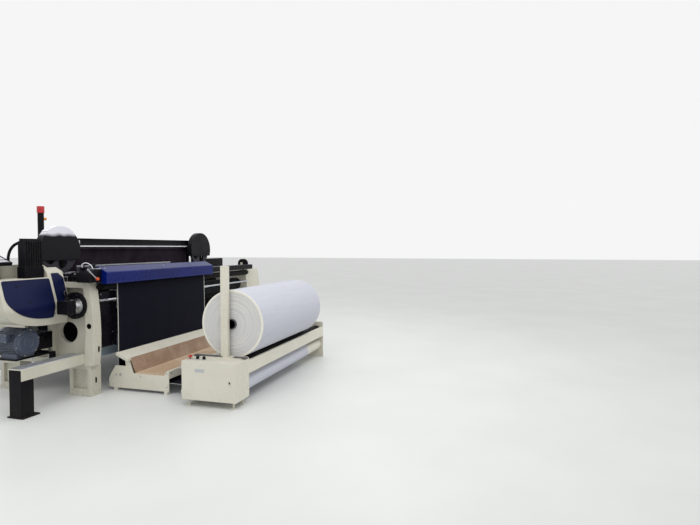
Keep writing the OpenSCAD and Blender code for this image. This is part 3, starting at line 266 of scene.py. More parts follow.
def wood(name, light, dark, worn):
    # plywood strips along X: stretched grain, knots left out, shoe wear
    s = Surface(name)
    fibre, vein = s.grain(9, 6, 0.62, (0.7, 16.0, 16.0)), s.grain(40, 3, 0.6, (0.25, 20.0, 20.0))
    scuff = s.grain(3.2, 6, 0.68)
    tone = s.mixed(s.span(fibre, 0.3, 0.7), light, dark)
    tone = s.mixed(s.span(vein, 0.46, 0.62, 0.0, 0.35), tone, dark)
    tone = s.mixed(s.span(scuff, 0.45, 0.66, 0.0, 0.75), tone, worn)
    tone = s.mixed(s.span(s.grain(60, 4, 0.7), 0.56, 0.72, 0.0, 0.4), tone, (96, 80, 64))
    return s.close(tone, s.span(scuff, 0.35, 0.7, 0.62, 0.46), (s.calc("ADD", fibre, vein), 0.4, 0.0010))


deckWood = wood("deckWood", (204, 180, 152), (182, 152, 122), (216, 200, 180))
rampWood = wood("rampWood", (158, 130, 106), (136, 108, 86), (176, 152, 130))


def screenMaterial():
    # a dark display with plain soft panels of light, no words
    s = Surface("displayGlass")
    cells = s.put("ShaderNodeTexVoronoi", {"Vector": s.place, "Scale": 26.0}, "Color", distance="CHEBYCHEV")
    panel = s.span(s.put("ShaderNodeSeparateColor", {"Color": cells}), 0.5, 0.9)
    return s.close(s.mixed(panel, (34, 46, 66), (96, 122, 150)), s.span(s.grain(30, 3), 0.3, 0.7, 0.08, 0.2),
                   Coat_Weight=0.6)


def paintedReflectionHood():
    # gloss black hood with a painted pale reflection on its crown, with a wavy, soft line between
    s = Surface("hoodPaintedReflection")
    height = s.calc("ADD", s.along("Z"), s.span(s.grain(4, 2), 0.3, 0.7, -0.018, 0.018))
    # painted reflection: above this height the black turns pale
    tone = s.mixed(s.span(height, 1.603, 1.640), (14, 12, 19), (226, 225, 234))
    return s.close(tone, s.span(s.grain(8, 3), 0.3, 0.7, 0.2, 0.34), (s.grain(120, 2), 0.08, 0.0003),
                   Specular_IOR_Level=0.15)


displayGlass, hoodPaintedReflection = screenMaterial(), paintedReflectionHood()
print("materials made:", len(bpy.data.materials))


# mesh helpers
def linked(name, data):
    thing = bpy.data.objects.new(name, data)
    bpy.context.scene.collection.objects.link(thing)
    return thing


def meshOf(name, shape):
    mesh = bpy.data.meshes.new(name)
    shape.to_mesh(mesh)
    shape.free()
    return mesh


def sharpen(mesh, angle=34):
    mesh.polygons.foreach_set("use_smooth", [True] * len(mesh.polygons))
    mesh.set_sharp_from_angle(angle=math.radians(angle))


def tied(thing, body, slot, node=None):
    if body:
        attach(thing, body)
    if node:
        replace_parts(thing, node)
    return thing


def plainMesh(thing):
    # whatever the modifiers make of it, as a mesh of its own
    bpy.context.view_layer.update()
    graph = bpy.context.evaluated_depsgraph_get()
    mesh = bpy.data.meshes.new_from_object(thing.evaluated_get(graph), preserve_all_data_layers=True, depsgraph=graph)
    thing.modifiers.clear()
    thing.data = mesh
    return thing


easing = {"shares": (1.0, 0.6, 0.35, 0.2, 0.1), "fold": 5e-5, "angle": 32}


def foldedArea(mesh):
    # area of the triangles that lie the wrong way round in their face
    mesh.calc_loop_triangles()
    faces = mesh.polygons
    return sum(each.area for each in mesh.loop_triangles if each.normal.dot(faces[each.polygon_index].normal) < 0)


def splitFaces(mesh, triangles):
    # the same mesh with its hollow faces split into convex ones or into triangles
    shape = bmesh.new()
    shape.from_mesh(mesh)
    if triangles:
        large = [face for face in shape.faces if len(face.verts) > 4]
        bmesh.ops.triangulate(shape, faces=large, quad_method="BEAUTY", ngon_method="BEAUTY")
    else:
        bmesh.ops.connect_verts_concave(shape, faces=shape.faces)
    split = mesh.copy()
    shape.to_mesh(split)
    shape.free()
    sharpen(split)
    return split


def eased(thing, width, segments):
    bevel = thing.modifiers.new("Bevel", "BEVEL")
    bevel.width, bevel.segments, bevel.limit_method = width, segments, "ANGLE"
    bevel.angle_limit, bevel.use_clamp_overlap = math.radians(easing["angle"]), False
    bevel.miter_outer = "MITER_ARC"
    thing.modifiers.new("Weighted", "WEIGHTED_NORMAL").keep_sharp = True
    return foldedArea(plainMesh(thing).data)


def rounded(thing, width, segments):
    # the widest easing of the edges that folds no face over
    forms = [thing.data]
    for share in easing["shares"]:
        for kind in range(3):
            if kind == len(forms):
                forms.append(splitFaces(forms[0], kind == 2))
            thing.data = forms[kind]
            if eased(thing, width * share, segments) < easing["fold"]:
                return


def piece(name, mesh, materials, bevel, segments, body, slot, node):
    thing = linked(name, mesh)
    for each in materials:
        mesh.materials.append(each)
    if bevel:
        rounded(thing, bevel, segments)
    return tied(thing, body, slot, node)


def dress(node, material, slot, bevel=0.002, segments=2, body="loom", parts=(), drop=None):
    # the solid again with eased edges; parts are (test of a face's middle, material), drop a test of faces left out
    shape = bmesh.new()
    shape.from_mesh(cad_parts[node].data)
    bmesh.ops.remove_doubles(shape, verts=shape.verts, dist=2e-6)
    bmesh.ops.dissolve_limit(shape, angle_limit=math.radians(0.4), verts=shape.verts, edges=shape.edges)
    if drop:
        lost = [face for face in shape.faces if drop(face.calc_center_median())]
        bmesh.ops.delete(shape, geom=lost, context="FACES")
    for face in shape.faces:
        middle = face.calc_center_median()
        face.material_index = max((i for i, (test, _) in enumerate(parts, 1) if test(middle)), default=0)
    mesh = meshOf(node, shape)
    sharpen(mesh)
    return piece(node + "_skin", mesh, [material] + [other for _, other in parts], bevel, segments, body, slot, node)


# boxes, pins, lathes and slabs add to one draft, and emit makes a piece of it
draft = [bmesh.new()]


def taken():
    draft.append(bmesh.new())
    return draft.pop(0)


def emit(name, slot, material, bevel=0.0, segments=2, body="loom", angle=34, node=None):
    shape = taken()
    bmesh.ops.remove_doubles(shape, verts=shape.verts, dist=1e-6)
    bmesh.ops.recalc_face_normals(shape, faces=shape.faces)
    mesh = meshOf(name, shape)
    sharpen(mesh, angle)
    materials = material if isinstance(material, list) else [material]
    return piece(name, mesh, materials, bevel, segments, body, slot, node)


def box(low, high):
    low, high = Vector(low), Vector(high)
    place = Matrix.Translation((low + high) / 2) @ Matrix.Diagonal((*(high - low), 1.0))
    bmesh.ops.create_cube(draft[0], size=1.0, matrix=place)


def pin(start, end, radius, sides=24, endRadius=None):
    start, end = Vector(start), Vector(end)
    line = end - start
    place = Matrix.Translation((start + end) / 2) @ line.to_track_quat("Z", "Y").to_matrix().to_4x4()
    bmesh.ops.create_cone(draft[0], cap_ends=True, segments=sides, radius1=radius, depth=line.length, matrix=place,
                          radius2=radius if endRadius is None else endRadius)


def onAxis(axis, along, u, v):
    return {"X": (along, u, v), "Y": (u, along, v), "Z": (u, v, along)}[axis]


def lathe(profile, at, axis, sides=48, materials=None):
    # profile is (place along the axis, radius); ends at radius 0 close it
    shape, rings = draft[0], []
    for along, radius in profile:
        ways = [2 * math.pi * i / sides for i in range(sides if radius > 0 else 1)]
        rings.append([shape.verts.new(onAxis(axis, along, at[0] + radius * math.cos(a), at[1] + radius * math.sin(a)))
                      for a in ways])
    for number, (first, second) in enumerate(zip(rings, rings[1:])):
        for i in range(sides):
            unique = list(dict.fromkeys(ring[(i + more) % len(ring)] for ring, more in
                                        ((first, 0), (first, 1), (second, 1), (second, 0))))
            if len(unique) > 2:
                face = shape.faces.new(unique)
                if materials:
                    face.material_index = materials[number]


def slab(outline, low, high, axis):
    # a closed outline drawn in the two other axes, pushed from low to high
    shape = draft[0]
    first, second = ([shape.verts.new(onAxis(axis, depth, *p)) for p in outline] for depth in (low, high))
    shape.faces.new(first)
    shape.faces.new(second[::-1])
    for i in range(len(outline)):
        j = (i + 1) % len(outline)
        shape.faces.new([first[j], first[i], second[i], second[j]])


# trees that repeat or place things
def treeOf(name, **sockets):
    tree = bpy.data.node_groups.new(name, "GeometryNodeTree")
    for label, kind in {"Geometry": "Geometry", **sockets, "Material": "Material"}.items():
        tree.interface.new_socket(label, in_out="INPUT", socket_type="NodeSocket" + kind)
    tree.interface.new_socket("Geometry", in_out="OUTPUT", socket_type="NodeSocketGeometry")

    def add(kind, sockets=None, out=0, **settings):
        return put(tree, kind, sockets, out, **settings)
    return tree, tree.nodes.new("NodeGroupInput").outputs, add


def closeTree(tree, geometry, material):
    real = put(tree, "GeometryNodeRealizeInstances", {"Geometry": geometry})
    last = put(tree, "GeometryNodeSetMaterial", {"Geometry": real, "Material": material})
    put(tree, "NodeGroupOutput", {"Geometry": last}, None)
    return tree


def gridTree():
    # the piece's own shape, repeated in one or two directions
    tree, given, add = treeOf("repeatShape", Count="Int", Step="Vector", Rows="Int", RowStep="Vector", Jitter="Float")
    line = add("GeometryNodeMeshLine", {"Count": given["Count"], "Offset": given["Step"]})
    rows = add("GeometryNodeMeshLine", {"Count": given["Rows"], "Offset": given["RowStep"]})
    low, high = (add("ShaderNodeVectorMath", {0: (side, side, side), "Scale": given["Jitter"]}, operation="SCALE")
                 for side in (-1, 1))
    shake = add("FunctionNodeRandomValue", {0: low, 1: high, "Seed": 7}, data_type="FLOAT_VECTOR")
    moved = add("GeometryNodeSetPosition", {"Geometry": line, "Offset": shake})
    single = add("GeometryNodeInstanceOnPoints", {"Points": moved, "Instance": given["Geometry"]})
    several = add("GeometryNodeInstanceOnPoints", {"Points": rows, "Instance": single})
    return closeTree(tree, several, given["Material"])


def screwTree():
    # a head on a washer at every point, its axis along the stored direction
    tree, given, add = treeOf("hexScrew", Head="Float", Height="Float", Washer="Float", Sides="Int")
    half = calc(tree, "MULTIPLY", given["Height"], 0.5)
    cones = [add("GeometryNodeMeshCone", {"Vertices": sides, "Radius Top": radius, "Radius Bottom": radius,
                                          "Depth": depth})
             for sides, radius, depth in ((given["Sides"], given["Head"], given["Height"]),
                                          (18, given["Washer"], half))]
    flat = add("GeometryNodeSetShadeSmooth", {"Geometry": add("GeometryNodeJoinGeometry", {0: cones}),
                                              "Shade Smooth": False})
    aim = add("GeometryNodeInputNamedAttribute", {"Name": "aim"}, data_type="FLOAT_VECTOR")
    turn = add("FunctionNodeAlignRotationToVector", {"Vector": aim}, axis="Z")
    spin = add("FunctionNodeRandomValue", {2: 0.0, 3: 6.28, "Seed": 3}, 1, data_type="FLOAT")
    about = add("ShaderNodeCombineXYZ", {"Z": spin})
    local = add("FunctionNodeRotateRotation", {"Rotation": turn, "Rotate By": about}, rotation_space="LOCAL")
    placed = add("GeometryNodeInstanceOnPoints", {"Points": given["Geometry"], "Instance": flat, "Rotation": local})
    return closeTree(tree, placed, given["Material"])


def ringTree():
    # the piece's own shape, turned in even steps about an axis through a point
    tree, given, add = treeOf("ringShape", Count="Int", Centre="Vector", Axis="Vector")
    points = add("GeometryNodePoints", {"Count": given["Count"], "Position": given["Centre"]})
    step = calc(tree, "DIVIDE", 2 * math.pi, given["Count"])
    angle = calc(tree, "MULTIPLY", add("GeometryNodeInputIndex"), step)
    turn = add("FunctionNodeAxisAngleToRotation", {"Axis": given["Axis"], "Angle": angle})
    back = add("ShaderNodeVectorMath", {0: given["Centre"], "Scale": -1.0}, operation="SCALE")
    local = add("GeometryNodeTransform", {"Geometry": given["Geometry"], "Translation": back})
    placed = add("GeometryNodeInstanceOnPoints", {"Points": points, "Rotation": turn, "Instance": local})
    return closeTree(tree, placed, given["Material"])


def hoseTree():
    # a tube along the piece's polyline, with ribs where Rib is above zero
    tree, given, add = treeOf("ribbedHose", Radius="Float", Rib="Float", Pitch="Float", Step="Float", Sides="Int")
    curve = add("GeometryNodeMeshToCurve", {"Mesh": given["Geometry"]})
    even = add("GeometryNodeResampleCurve", {"Curve": curve, "Length": given["Step"]}, mode="LENGTH")
    phase = calc(tree, "DIVIDE", add("GeometryNodeSplineParameter", out="Length"), given["Pitch"])
    wave = calc(tree, "COSINE", calc(tree, "MULTIPLY", phase, 2 * math.pi))
    thick = calc(tree, "MULTIPLY_ADD", wave, given["Rib"], given["Radius"])
    ring = add("GeometryNodeCurvePrimitiveCircle", {"Resolution": given["Sides"], "Radius": 1.0}, mode="RADIUS")
    tube = add("GeometryNodeCurveToMesh", {"Curve": even, "Profile Curve": ring, "Fill Caps": True, "Scale": thick})
    smooth = add("GeometryNodeSetShadeSmooth", {"Geometry": tube, "Shade Smooth": True})
    return closeTree(tree, smooth, given["Material"])


trees = {"grid": gridTree(), "screws": screwTree(), "ring": ringTree(), "hose": hoseTree()}


def grow(thing, treeName, **values):
    modifier = thing.modifiers.new(treeName, "NODES")
    modifier.node_group = trees[treeName]
    for item in trees[treeName].interface.items_tree:
        if item.name in values:
            modifier[item.identifier] = values[item.name]
    plainMesh(thing)


def seedObject(name, smooth=False):
    shape = taken()
    bmesh.ops.recalc_face_normals(shape, faces=shape.faces)
    thing = linked(name, meshOf(name, shape))
    if smooth:
        sharpen(thing.data)
    return thing


def repeated(name, slot, material, count, step, rows=1, rowStep=(0, 0, 0), jitter=0.0, smooth=False, body="loom"):
    thing = seedObject(name, smooth)
    grow(thing, "grid", Count=count, Step=step, Rows=rows, RowStep=rowStep, Jitter=jitter, Material=material)
    return tied(thing, body, slot)


def around(name, slot, material, count, centre, axis):
    thing = seedObject(name)
    grow(thing, "ring", Count=count, Centre=centre, Axis=axis, Material=material)
    return tied(thing, "loom", slot)


def screws(name, places, head=0.006, height=0.005, washer=0.0095, sides=6, material=steel, body="loom"):
    # places are (point, outward direction)
    mesh = bpy.data.meshes.new(name)
    mesh.from_pydata([p for p, _ in places], [], [])
    aim = mesh.attributes.new("aim", "FLOAT_VECTOR", "POINT")
    aim.data.foreach_set("vector", [c for _, direction in places for c in direction])
    thing = linked(name, mesh)
    grow(thing, "screws", Head=head, Height=height, Washer=washer, Sides=sides, Material=material)
    return tied(thing, body, "bright_steel")


def bolts(name, centre, radius, count, axis, **kind):
    # an even ring of screws round a point, heads along the axis
    axis = Vector(axis)
    side = axis.orthogonal().normalized()
    other = axis.cross(side)
    ways = [2 * math.pi * (i + 0.5) / count for i in range(count)]
    screws(name, [(Vector(centre) + radius * (side * math.cos(a) + other * math.sin(a)), axis) for a in ways], **kind)


def smoothPath(points, step=0.012):
    # a rounded line through the given points, in even small steps
    points = [Vector(p) for p in points]
    padded = [2 * points[0] - points[1]] + points + [2 * points[-1] - points[-2]]
    line = []
    for a, b, c, d in zip(padded, padded[1:], padded[2:], padded[3:]):
        pieces = max(4, int((c - b).length / step))
        for t in (i / pieces for i in range(pieces)):
            line.append(0.5 * (2 * b + (c - a) * t + (2 * a - 5 * b + 4 * c - d) * t * t
                               + (3 * b - a - 3 * c + d) * t ** 3))
    return line + [points[-1]]


def hose(name, radius, slot, material, points, rib=0.0, pitch=0.006, sides=14):
    line = smoothPath(points)
    mesh = bpy.data.meshes.new(name)
    mesh.from_pydata([tuple(p) for p in line], [(i, i + 1) for i in range(len(line) - 1)], [])
    thing = linked(name, mesh)
    grow(thing, "hose", Radius=radius, Rib=rib, Pitch=pitch, Step=pitch / 4 if rib else 0.008, Sides=sides,
         Material=material)
    tied(thing, "loom", slot)
    length = sum((b - a).length for a, b in zip(line, line[1:]))
    tuple(line[0])
    [tuple(p) for p in line]
    print(f"  {name}: {length:.3f} m")


print("trees ready:", ", ".join(trees))

# the cloth's rollers in order, each ((Y, Z), radius), the radius negative where the roller is above the cloth
clothCourse = {"left": -1.180, "right": 0.450, "fell": (0.335, 1.200), "lift": 0.0018, "columns": 44,
               "stretchStep": 0.035, "lastTurn": 88,
               "rollers": {"breast": ((0.020, 1.1682), 0.030), "take_up": ((0.120, 0.915), -0.095),
                           "turn": ((-0.070, 1.098), 0.038), "platform": ((-0.1496, 0.168), -0.038),
                           "lower": ((-1.540, 0.172), -0.075), "front_drive": ((-1.540, 0.36525), 0.060)}}
# the free stretch between the turn roller and the platform, with its ripples and curled edges
hanging = {"y": (-0.16, -0.10), "top": 1.06, "drop": 0.86, "push": -0.0026, "curl": 0.0035, "curlReach": 0.03,
           "ripples": ((0.0016, 9.0, 0.6, 0.0), (0.0009, 23.0, 2.0, 1.3)),
           "fringeY": -0.1125, "fringe": (0.19, 1.10), "fringePitch": 0.004}


def heading(first, second):
    dy, dz = second[0][0] - first[0][0], second[0][1] - first[0][1]
    return math.atan2(dz, dy) + math.asin((first[1] - second[1]) / math.hypot(dy, dz))


def roundRoller(roller, wayIn, wayOut, step=math.radians(7)):
    sweep = wayOut - wayIn
    turns = math.floor(sweep / (2 * math.pi)) if roller[1] > 0 else math.ceil(sweep / (2 * math.pi))
    sweep -= 2 * math.pi * turns
    count = max(2, math.ceil(abs(sweep) / step))
    return [((roller[0][0] + roller[1] * math.sin(way), roller[0][1] - roller[1] * math.cos(way)), way)
            for way in (wayIn + sweep * i / count for i in range(count + 1))]


def evened(stops, step):
    # straight stretches cut into short steps
    line = [stops[0]]
    for (p, wayP), (q, wayQ) in zip(stops, stops[1:]):
        pieces = max(1, math.ceil(math.dist(p, q) / step))
        for t in (i / pieces for i in range(1, pieces + 1)):
            line.append(((p[0] + (q[0] - p[0]) * t, p[1] + (q[1] - p[1]) * t), wayP + (wayQ - wayP) * t))
    return line


def clothStops():
    c = clothCourse
    rollers = [(c["fell"], 0.0)] + [(at, radius + math.copysign(c["lift"], radius))
                                    for at, radius in c["rollers"].values()]
    stops = [(c["fell"], heading(rollers[0], rollers[1]))]
    for before, here, after in zip(rollers, rollers[1:], rollers[2:]):
        stops += roundRoller(here, heading(before, here), heading(here, after))
    last = rollers[-1]
    toRoll = math.atan2(clothRoll["at"][1] - last[0][1], clothRoll["at"][0] - last[0][0])
    stops += roundRoller(last, heading(rollers[-2], last), toRoll + math.radians(c["lastTurn"]))
    return evened(stops, c["stretchStep"])


def isHanging(y):
    return hanging["y"][0] < y < hanging["y"][1]


def makeCloth():
    left, columns, h, stops = clothCourse["left"], clothCourse["columns"], hanging, clothStops()
    width = clothCourse["right"] - left
    length, points, places = 0.0, [], []
    for number, ((y, z), _) in enumerate(stops):
        if number:
            length += math.dist(stops[number - 1][0], (y, z))
        free = math.sin(math.pi * min(1.0, max(0.0, (h["top"] - z) / h["drop"]))) if isHanging(y) else 0.0
        for i in range(columns + 1):
            u = width * i / columns
            ripple = sum(size * math.sin(u * often + start + z * lean) for size, often, start, lean in h["ripples"])
            curl = h["curl"] * sum(math.exp(-inset / h["curlReach"]) for inset in (u, width - u))
            points.append((left + u, y + free * (ripple + h["push"] - curl), z))
            places.append((u, length))
    row = columns + 1
    faces = [(r * row + i, r * row + i + 1, (r + 1) * row + i + 1, (r + 1) * row + i)
             for r in range(len(stops) - 1) for i in range(columns)]
    mesh = bpy.data.meshes.new("cloth")
    mesh.from_pydata(points, [], faces)
    layer = mesh.uv_layers.new(name="flat")
    for loop in mesh.loops:
        layer.data[loop.index].uv = places[loop.vertex_index]
    mesh.materials.append(denimBack)
    mesh.materials.append(denimFace)
    cloth = linked("denim_cloth", mesh)
    thick = cloth.modifiers.new("Thick", "SOLIDIFY")
    thick.thickness, thick.offset, thick.material_offset, thick.material_offset_rim = denim["thickness"], 0.0, 1, 1
    plainMesh(cloth)
    sharpen(cloth.data, 60)
    tied(cloth, "loom", "denim_cloth", "cloth_web")
    [name + "_roller_skin" for name in clothCourse["rollers"]]
    print(f"cloth: {width:.3f} by {length:.3f} m")
    return stops


def makeFringe(stops):
    # short cut weft ends along both selvedges of the hanging stretch
    h = hanging
    heights = [z for (y, z), _ in stops if isHanging(y) and h["fringe"][0] < z < h["fringe"][1]]
    count = int((max(heights) - min(heights)) / h["fringePitch"])
    for side, way in (("left", -1), ("right", 1)):
        place = Matrix.Translation((clothCourse[side] + way * 0.003, h["fringeY"], min(heights)))
        bmesh.ops.create_cone(draft[0], cap_ends=True, segments=3, radius1=0.0005, radius2=0.0003, depth=0.008,
                              matrix=place @ Matrix.Rotation(way * math.radians(96), 4, "Y"))
        repeated("fringe_" + side, "denim_cloth", whiteYarn, count, (0, 0, h["fringePitch"]), jitter=0.0012)


def makeRoll():
    c = clothRoll
    low, high, radius, edge, count = c["low"], c["high"], c["radius"], c["edge"], c["waves"]
    random.seed(11)
    radii = [c["core"] + 0.001]
    while radii[-1] < radius - 0.004:
        radii.append(radii[-1] + c["layer"])
    radii = radii[:-1] + [radius - 0.003]
    rise = [random.uniform(-1, 1) * c["telescope"] for _ in radii]
    lowEnd = [(low + 0.0025 + r, at) for r, at in zip(rise, radii)]
    highEnd = [(high - 0.0025 - r, at) for r, at in zip(rise[::-1], radii[::-1])]
    waves = [(low + (high - low) * i / count, radius - 0.0006 * (1 - math.cos(i * 1.7)) / 2) for i in range(1, count)]
    profile = [*lowEnd, (low + 0.004, radius - 0.0008), (low + 0.004 + edge, radius), *waves,
               (high - 0.004 - edge, radius), (high - 0.004, radius - 0.0008), *highEnd, lowEnd[0]]
    bands = [0] * len(lowEnd) + [1] * (count + 1) + [0] * (len(highEnd) + 5)
    lathe(profile, c["at"], "X", 128, bands)
    roll = emit("wound_cloth", "rolled_cloth", [rollEnds, denimBack], body="cloth_roll", angle=50, node="cloth_roll")
    layer = roll.data.uv_layers.new(name="flat")
    for loop in roll.data.loops:
        x, y, z = roll.data.vertices[loop.vertex_index].co
        layer.data[loop.index].uv = (x - low, math.atan2(z - c["at"][1], y - c["at"][0]) * radius)
    outer = c["core"] - 0.0005
    inner, ends = outer - c["coreWall"], (low - c["coreReach"], high + c["coreReach"])
    lathe([(ends[0], inner), (ends[0], outer), (ends[1], outer), (ends[1], inner), (ends[0], inner)], c["at"], "X", 64)
    emit("roll_core", "bright_steel", darkSteel, 0.001, body="cloth_roll")


makeFringe(makeCloth())
makeRoll()
print("cloth and roll done")

# rigid solids with eased edges and their finishes: (finish, slot, segments, widths of the edges)
plainDress = [
    (cream, "cream_paint", 3, {"right_frame": 0.006, "feet": 0.007, "left_end_housing": 0.008,
                               "right_end_cover": 0.006}),
    (creamClean, "cream_paint", 2, {"platform_frame": 0.0025, "batcher_cabinet": 0.002, "batcher_frame": 0.002,
                                    "guide_post": 0.0015}),
    (blackPaint, "black_parts", 2, {"cover_brackets": 0.004, "harness_top_beam": 0.003}),
    (blackPaint, "black_parts", 3, {"left_gear_box": 0.005, "right_gear_box": 0.005}),
    (blackPaint, "bright_steel", 2, {"harness_stand": 0.002}),
    (blackPaint, "black_metal", 2, {"step_post": 0.003}), (blackPaint, "black_metal", 1, {"terminal_arm": 0.001}),
    (bluePaint, "blue_cover", 3, {"front_cover": 0.003}), (navyPaint, "navy_panel", 2, {"navy_panels": 0.002}),
    (steel, "bright_steel", 2, {"guide_bar": 0.002}),
]
for material, slot, segments, widths in plainDress:
    for node, width in widths.items():
        dress(node, material, slot, width, segments)

# solids that ride a body of their own name
movingDress = [
    (wheelShell, "alloy", {"left_rapier_wheel": 0.002, "right_rapier_wheel": 0.002}),
    (alloy, "alloy", {"sley": 0.002, "warp_beam": 0.002}),
    (steel, "bright_steel", {"left_rapier": 0.0006, "right_rapier": 0.0006, "back_rest": 0.002,
                             "breast_roller": 0.002, "platform_roller": 0.002}),
    (rubber, "bright_steel", {"turn_roller": 0.002}),
    (rubber, "black_parts", {"press_roller": 0.002, "front_drive_roller": 0.002, "rear_drive_roller": 0.002}),
    (creamClean, "cream_paint", {"cabinet_door": 0.0025, "lower_roller": 0.002}),
    (blackPlastic, "black_parts", {"left_knob": 0.0015, "right_knob": 0.0015, "waste_reel": 0.0015}),
    (redPlastic, "signal_red", {"stop_button": 0.003}), (emery, "emery", {"take_up_roller": 0.002}),
]
for material, slot, widths in movingDress:
    for node, width in widths.items():
        dress(node, material, slot, width, body=node)
print("plain solids dressed:", sum(len(row[-1]) for row in plainDress + movingDress))

# places where one solid changes its finish
finishAt = {"tableEnd": -1.360, "shadedRearBeam": 0.5, "treadTop": 0.4305, "redLamp": 1.859, "amberLamp": (-1.31, 1.7),
            "grip": (-0.030, 0.710, 0.026), "servoBody": (-1.5999, -1.5312), "selectorBack": 0.4005,
            "leverKnob": (-0.1435, -1.490, 1.186, 0.017), "ramp": -0.3195,
            "gearCase": (-1.665, 0.4435, 0.430, 0.580)}


def isGrip(p):
    y, z, radius = finishAt["grip"]
    return abs(math.hypot(p.y - y, p.z - z) - radius) < 0.003


def isKnob(p):
    front, x, z, radius = finishAt["leverKnob"]
    return p.y < front and math.hypot(p.x - x, p.z - z) < radius


def isGearCase(p):
    side, low, *faces = finishAt["gearCase"]
    return p.x > side or p.z < low or min(abs(p.y - face) for face in faces) < 0.001


dress("cloth_table", alloy, "alloy", 0.0015, parts=[(lambda p: p.x < finishAt["tableEnd"], blackPaint)])
# painted shade: the rear cross beam is painted black for the shade it lies in
dress("cross_beams", greyPaint, "grey_paint", 0.004, parts=[(lambda p: p.y > finishAt["shadedRearBeam"], blackPaint)])
dress("step_beam", cream, "cream_paint", parts=[(lambda p: p.z > finishAt["treadTop"], steel)])
dress("signal_tower", blackPaint, "black_metal", parts=[
    (lambda p: p.z > finishAt["redLamp"], redPlastic),
    (lambda p: p.x > finishAt["amberLamp"][0] and p.z > finishAt["amberLamp"][1], amberPlastic)])
# the hood over the wheel carries the painted pale reflection on its crown
dress("wheel_guards", blackPlastic, "black_parts", 0.003, parts=[(lambda p: p.x < 0, hoodPaintedReflection)])
dress("left_frame", cream, "cream_paint", 0.006, 3, parts=[(isGrip, blackPaint)])
dress("take_up_motor", blackPaint, "black_parts",
      parts=[(lambda p: finishAt["servoBody"][0] < p.x < finishAt["servoBody"][1], steel)])
dress("weft_selector", blackPaint, "black_parts", 0.0015, drop=lambda p: p.y > finishAt["selectorBack"])
dress("brake_lever", steel, "bright_steel", body="brake_lever", parts=[(isKnob, orangePlastic)])
dress("terminal", blackPlastic, "black_parts", 0.004, 3, body="terminal")
dress("platform_deck", deckWood, "deck_wood", 0.0015, parts=[(lambda p: p.y > finishAt["ramp"], rampWood)])
dress("main_motor", motorPaint, "motor_paint", 0.0015, parts=[(isGearCase, hoodPaintedReflection)])
print("solids of two finishes dressed")

# warp ends on the beam, over the back rest and through the healds and reed
warp = {"left": -1.236, "right": 0.506, "beam": ((1.330, 0.560), 0.380), "backRest": ((1.120, 1.1382), 0.060),
        "lift": 0.0018, "leaseY": 0.850, "line": 1.200, "fellY": 0.335, "healdY": 0.5045, "healdPitch": 0.016,
        "pitch": 0.0021, "thread": 0.0006, "frames": 4, "shedSteps": 9, "core": 0.0855, "overhang": 0.003,
        "packSteps": 60}


def threadRow(name, line, body, count, step, left):
    # one end as a three-sided tube along the line, then repeated across the loom
    shape, r, rings = draft[0], warp["thread"], []
    for k, (y, z) in enumerate(line):
        before, after = line[max(0, k - 1)], line[min(len(line) - 1, k + 1)]
        way = math.atan2(after[1] - before[1], after[0] - before[0])
        rings.append([shape.verts.new((left + r * math.cos(a), y - math.sin(way) * r * math.sin(a),
                                       z + math.cos(way) * r * math.sin(a)))
                      for a in (math.radians(90), math.radians(210), math.radians(330))])
    shape.faces.new(rings[0])
    shape.faces.new(rings[-1][::-1])
    for first, second in zip(rings, rings[1:]):
        for i in range(3):
            shape.faces.new([first[i], first[(i + 1) % 3], second[(i + 1) % 3], second[i]])
    return repeated(name, "warp_yarn", indigoYarn, count, (step, 0, 0), body=body)


def makeWarp():
    w = warp
    left, lease, frames, steps = w["left"], (w["leaseY"], w["line"]), w["frames"], w["shedSteps"]
    beam, rest = ((at, radius + w["lift"]) for at, radius in (w["beam"], w["backRest"]))
    way = heading(beam, rest)
    line = [(beam[0][0] + beam[1] * math.sin(way), beam[0][1] - beam[1] * math.cos(way))]
    line += [p for p, _ in roundRoller(rest, way, heading(rest, (lease, 0.0)), math.radians(14))] + [lease]
    count = int((w["right"] - left) / w["pitch"])
    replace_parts(threadRow("warp_ends", line, "loom", count, w["pitch"], left), "warp_sheet")
    for i in range(frames):
        eye = w["healdY"] + i * w["healdPitch"]
        for part, far in (("front", w["fellY"]), ("rear", w["leaseY"])):
            line = [(far + (eye - far) * k / steps, w["line"]) for k in range(steps + 1)]
            ends = threadRow(f"shed_{part}_{i + 1}", line, None, count // frames, w["pitch"] * frames,
                             left + i * w["pitch"])
            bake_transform(ends)
    random.seed(5)
    low, high, steps = left - w["overhang"], w["right"] + w["overhang"], w["packSteps"]
    profile = [(low + (high - low) * k / steps, w["beam"][1] - random.uniform(0, 0.0012)) for k in range(steps + 1)]
    lathe([(low, w["core"]), *profile, (high, w["core"]), (low, w["core"])], w["beam"][0], "X", 96)
    emit("beamed_warp", "warp_yarn", indigoYarn, body="warp_beam", angle=50, node="warp_pack")


makeWarp()
print("warp done")

# heald frames, reed and drop wires
harness = {"left": -1.260, "right": 0.940, "y": 0.500, "pitch": 0.016, "thick": 0.009, "low": 0.940, "high": 1.512,
           "rail": 0.034, "stay": 0.024, "lip": 0.005, "wirePitch": 0.0046, "wire": 0.0035, "wireThick": 0.0004,
           "stagger": (0.0, 0.25, 0.75, 0.5), "eye": 1.200, "eyeReach": 0.014}


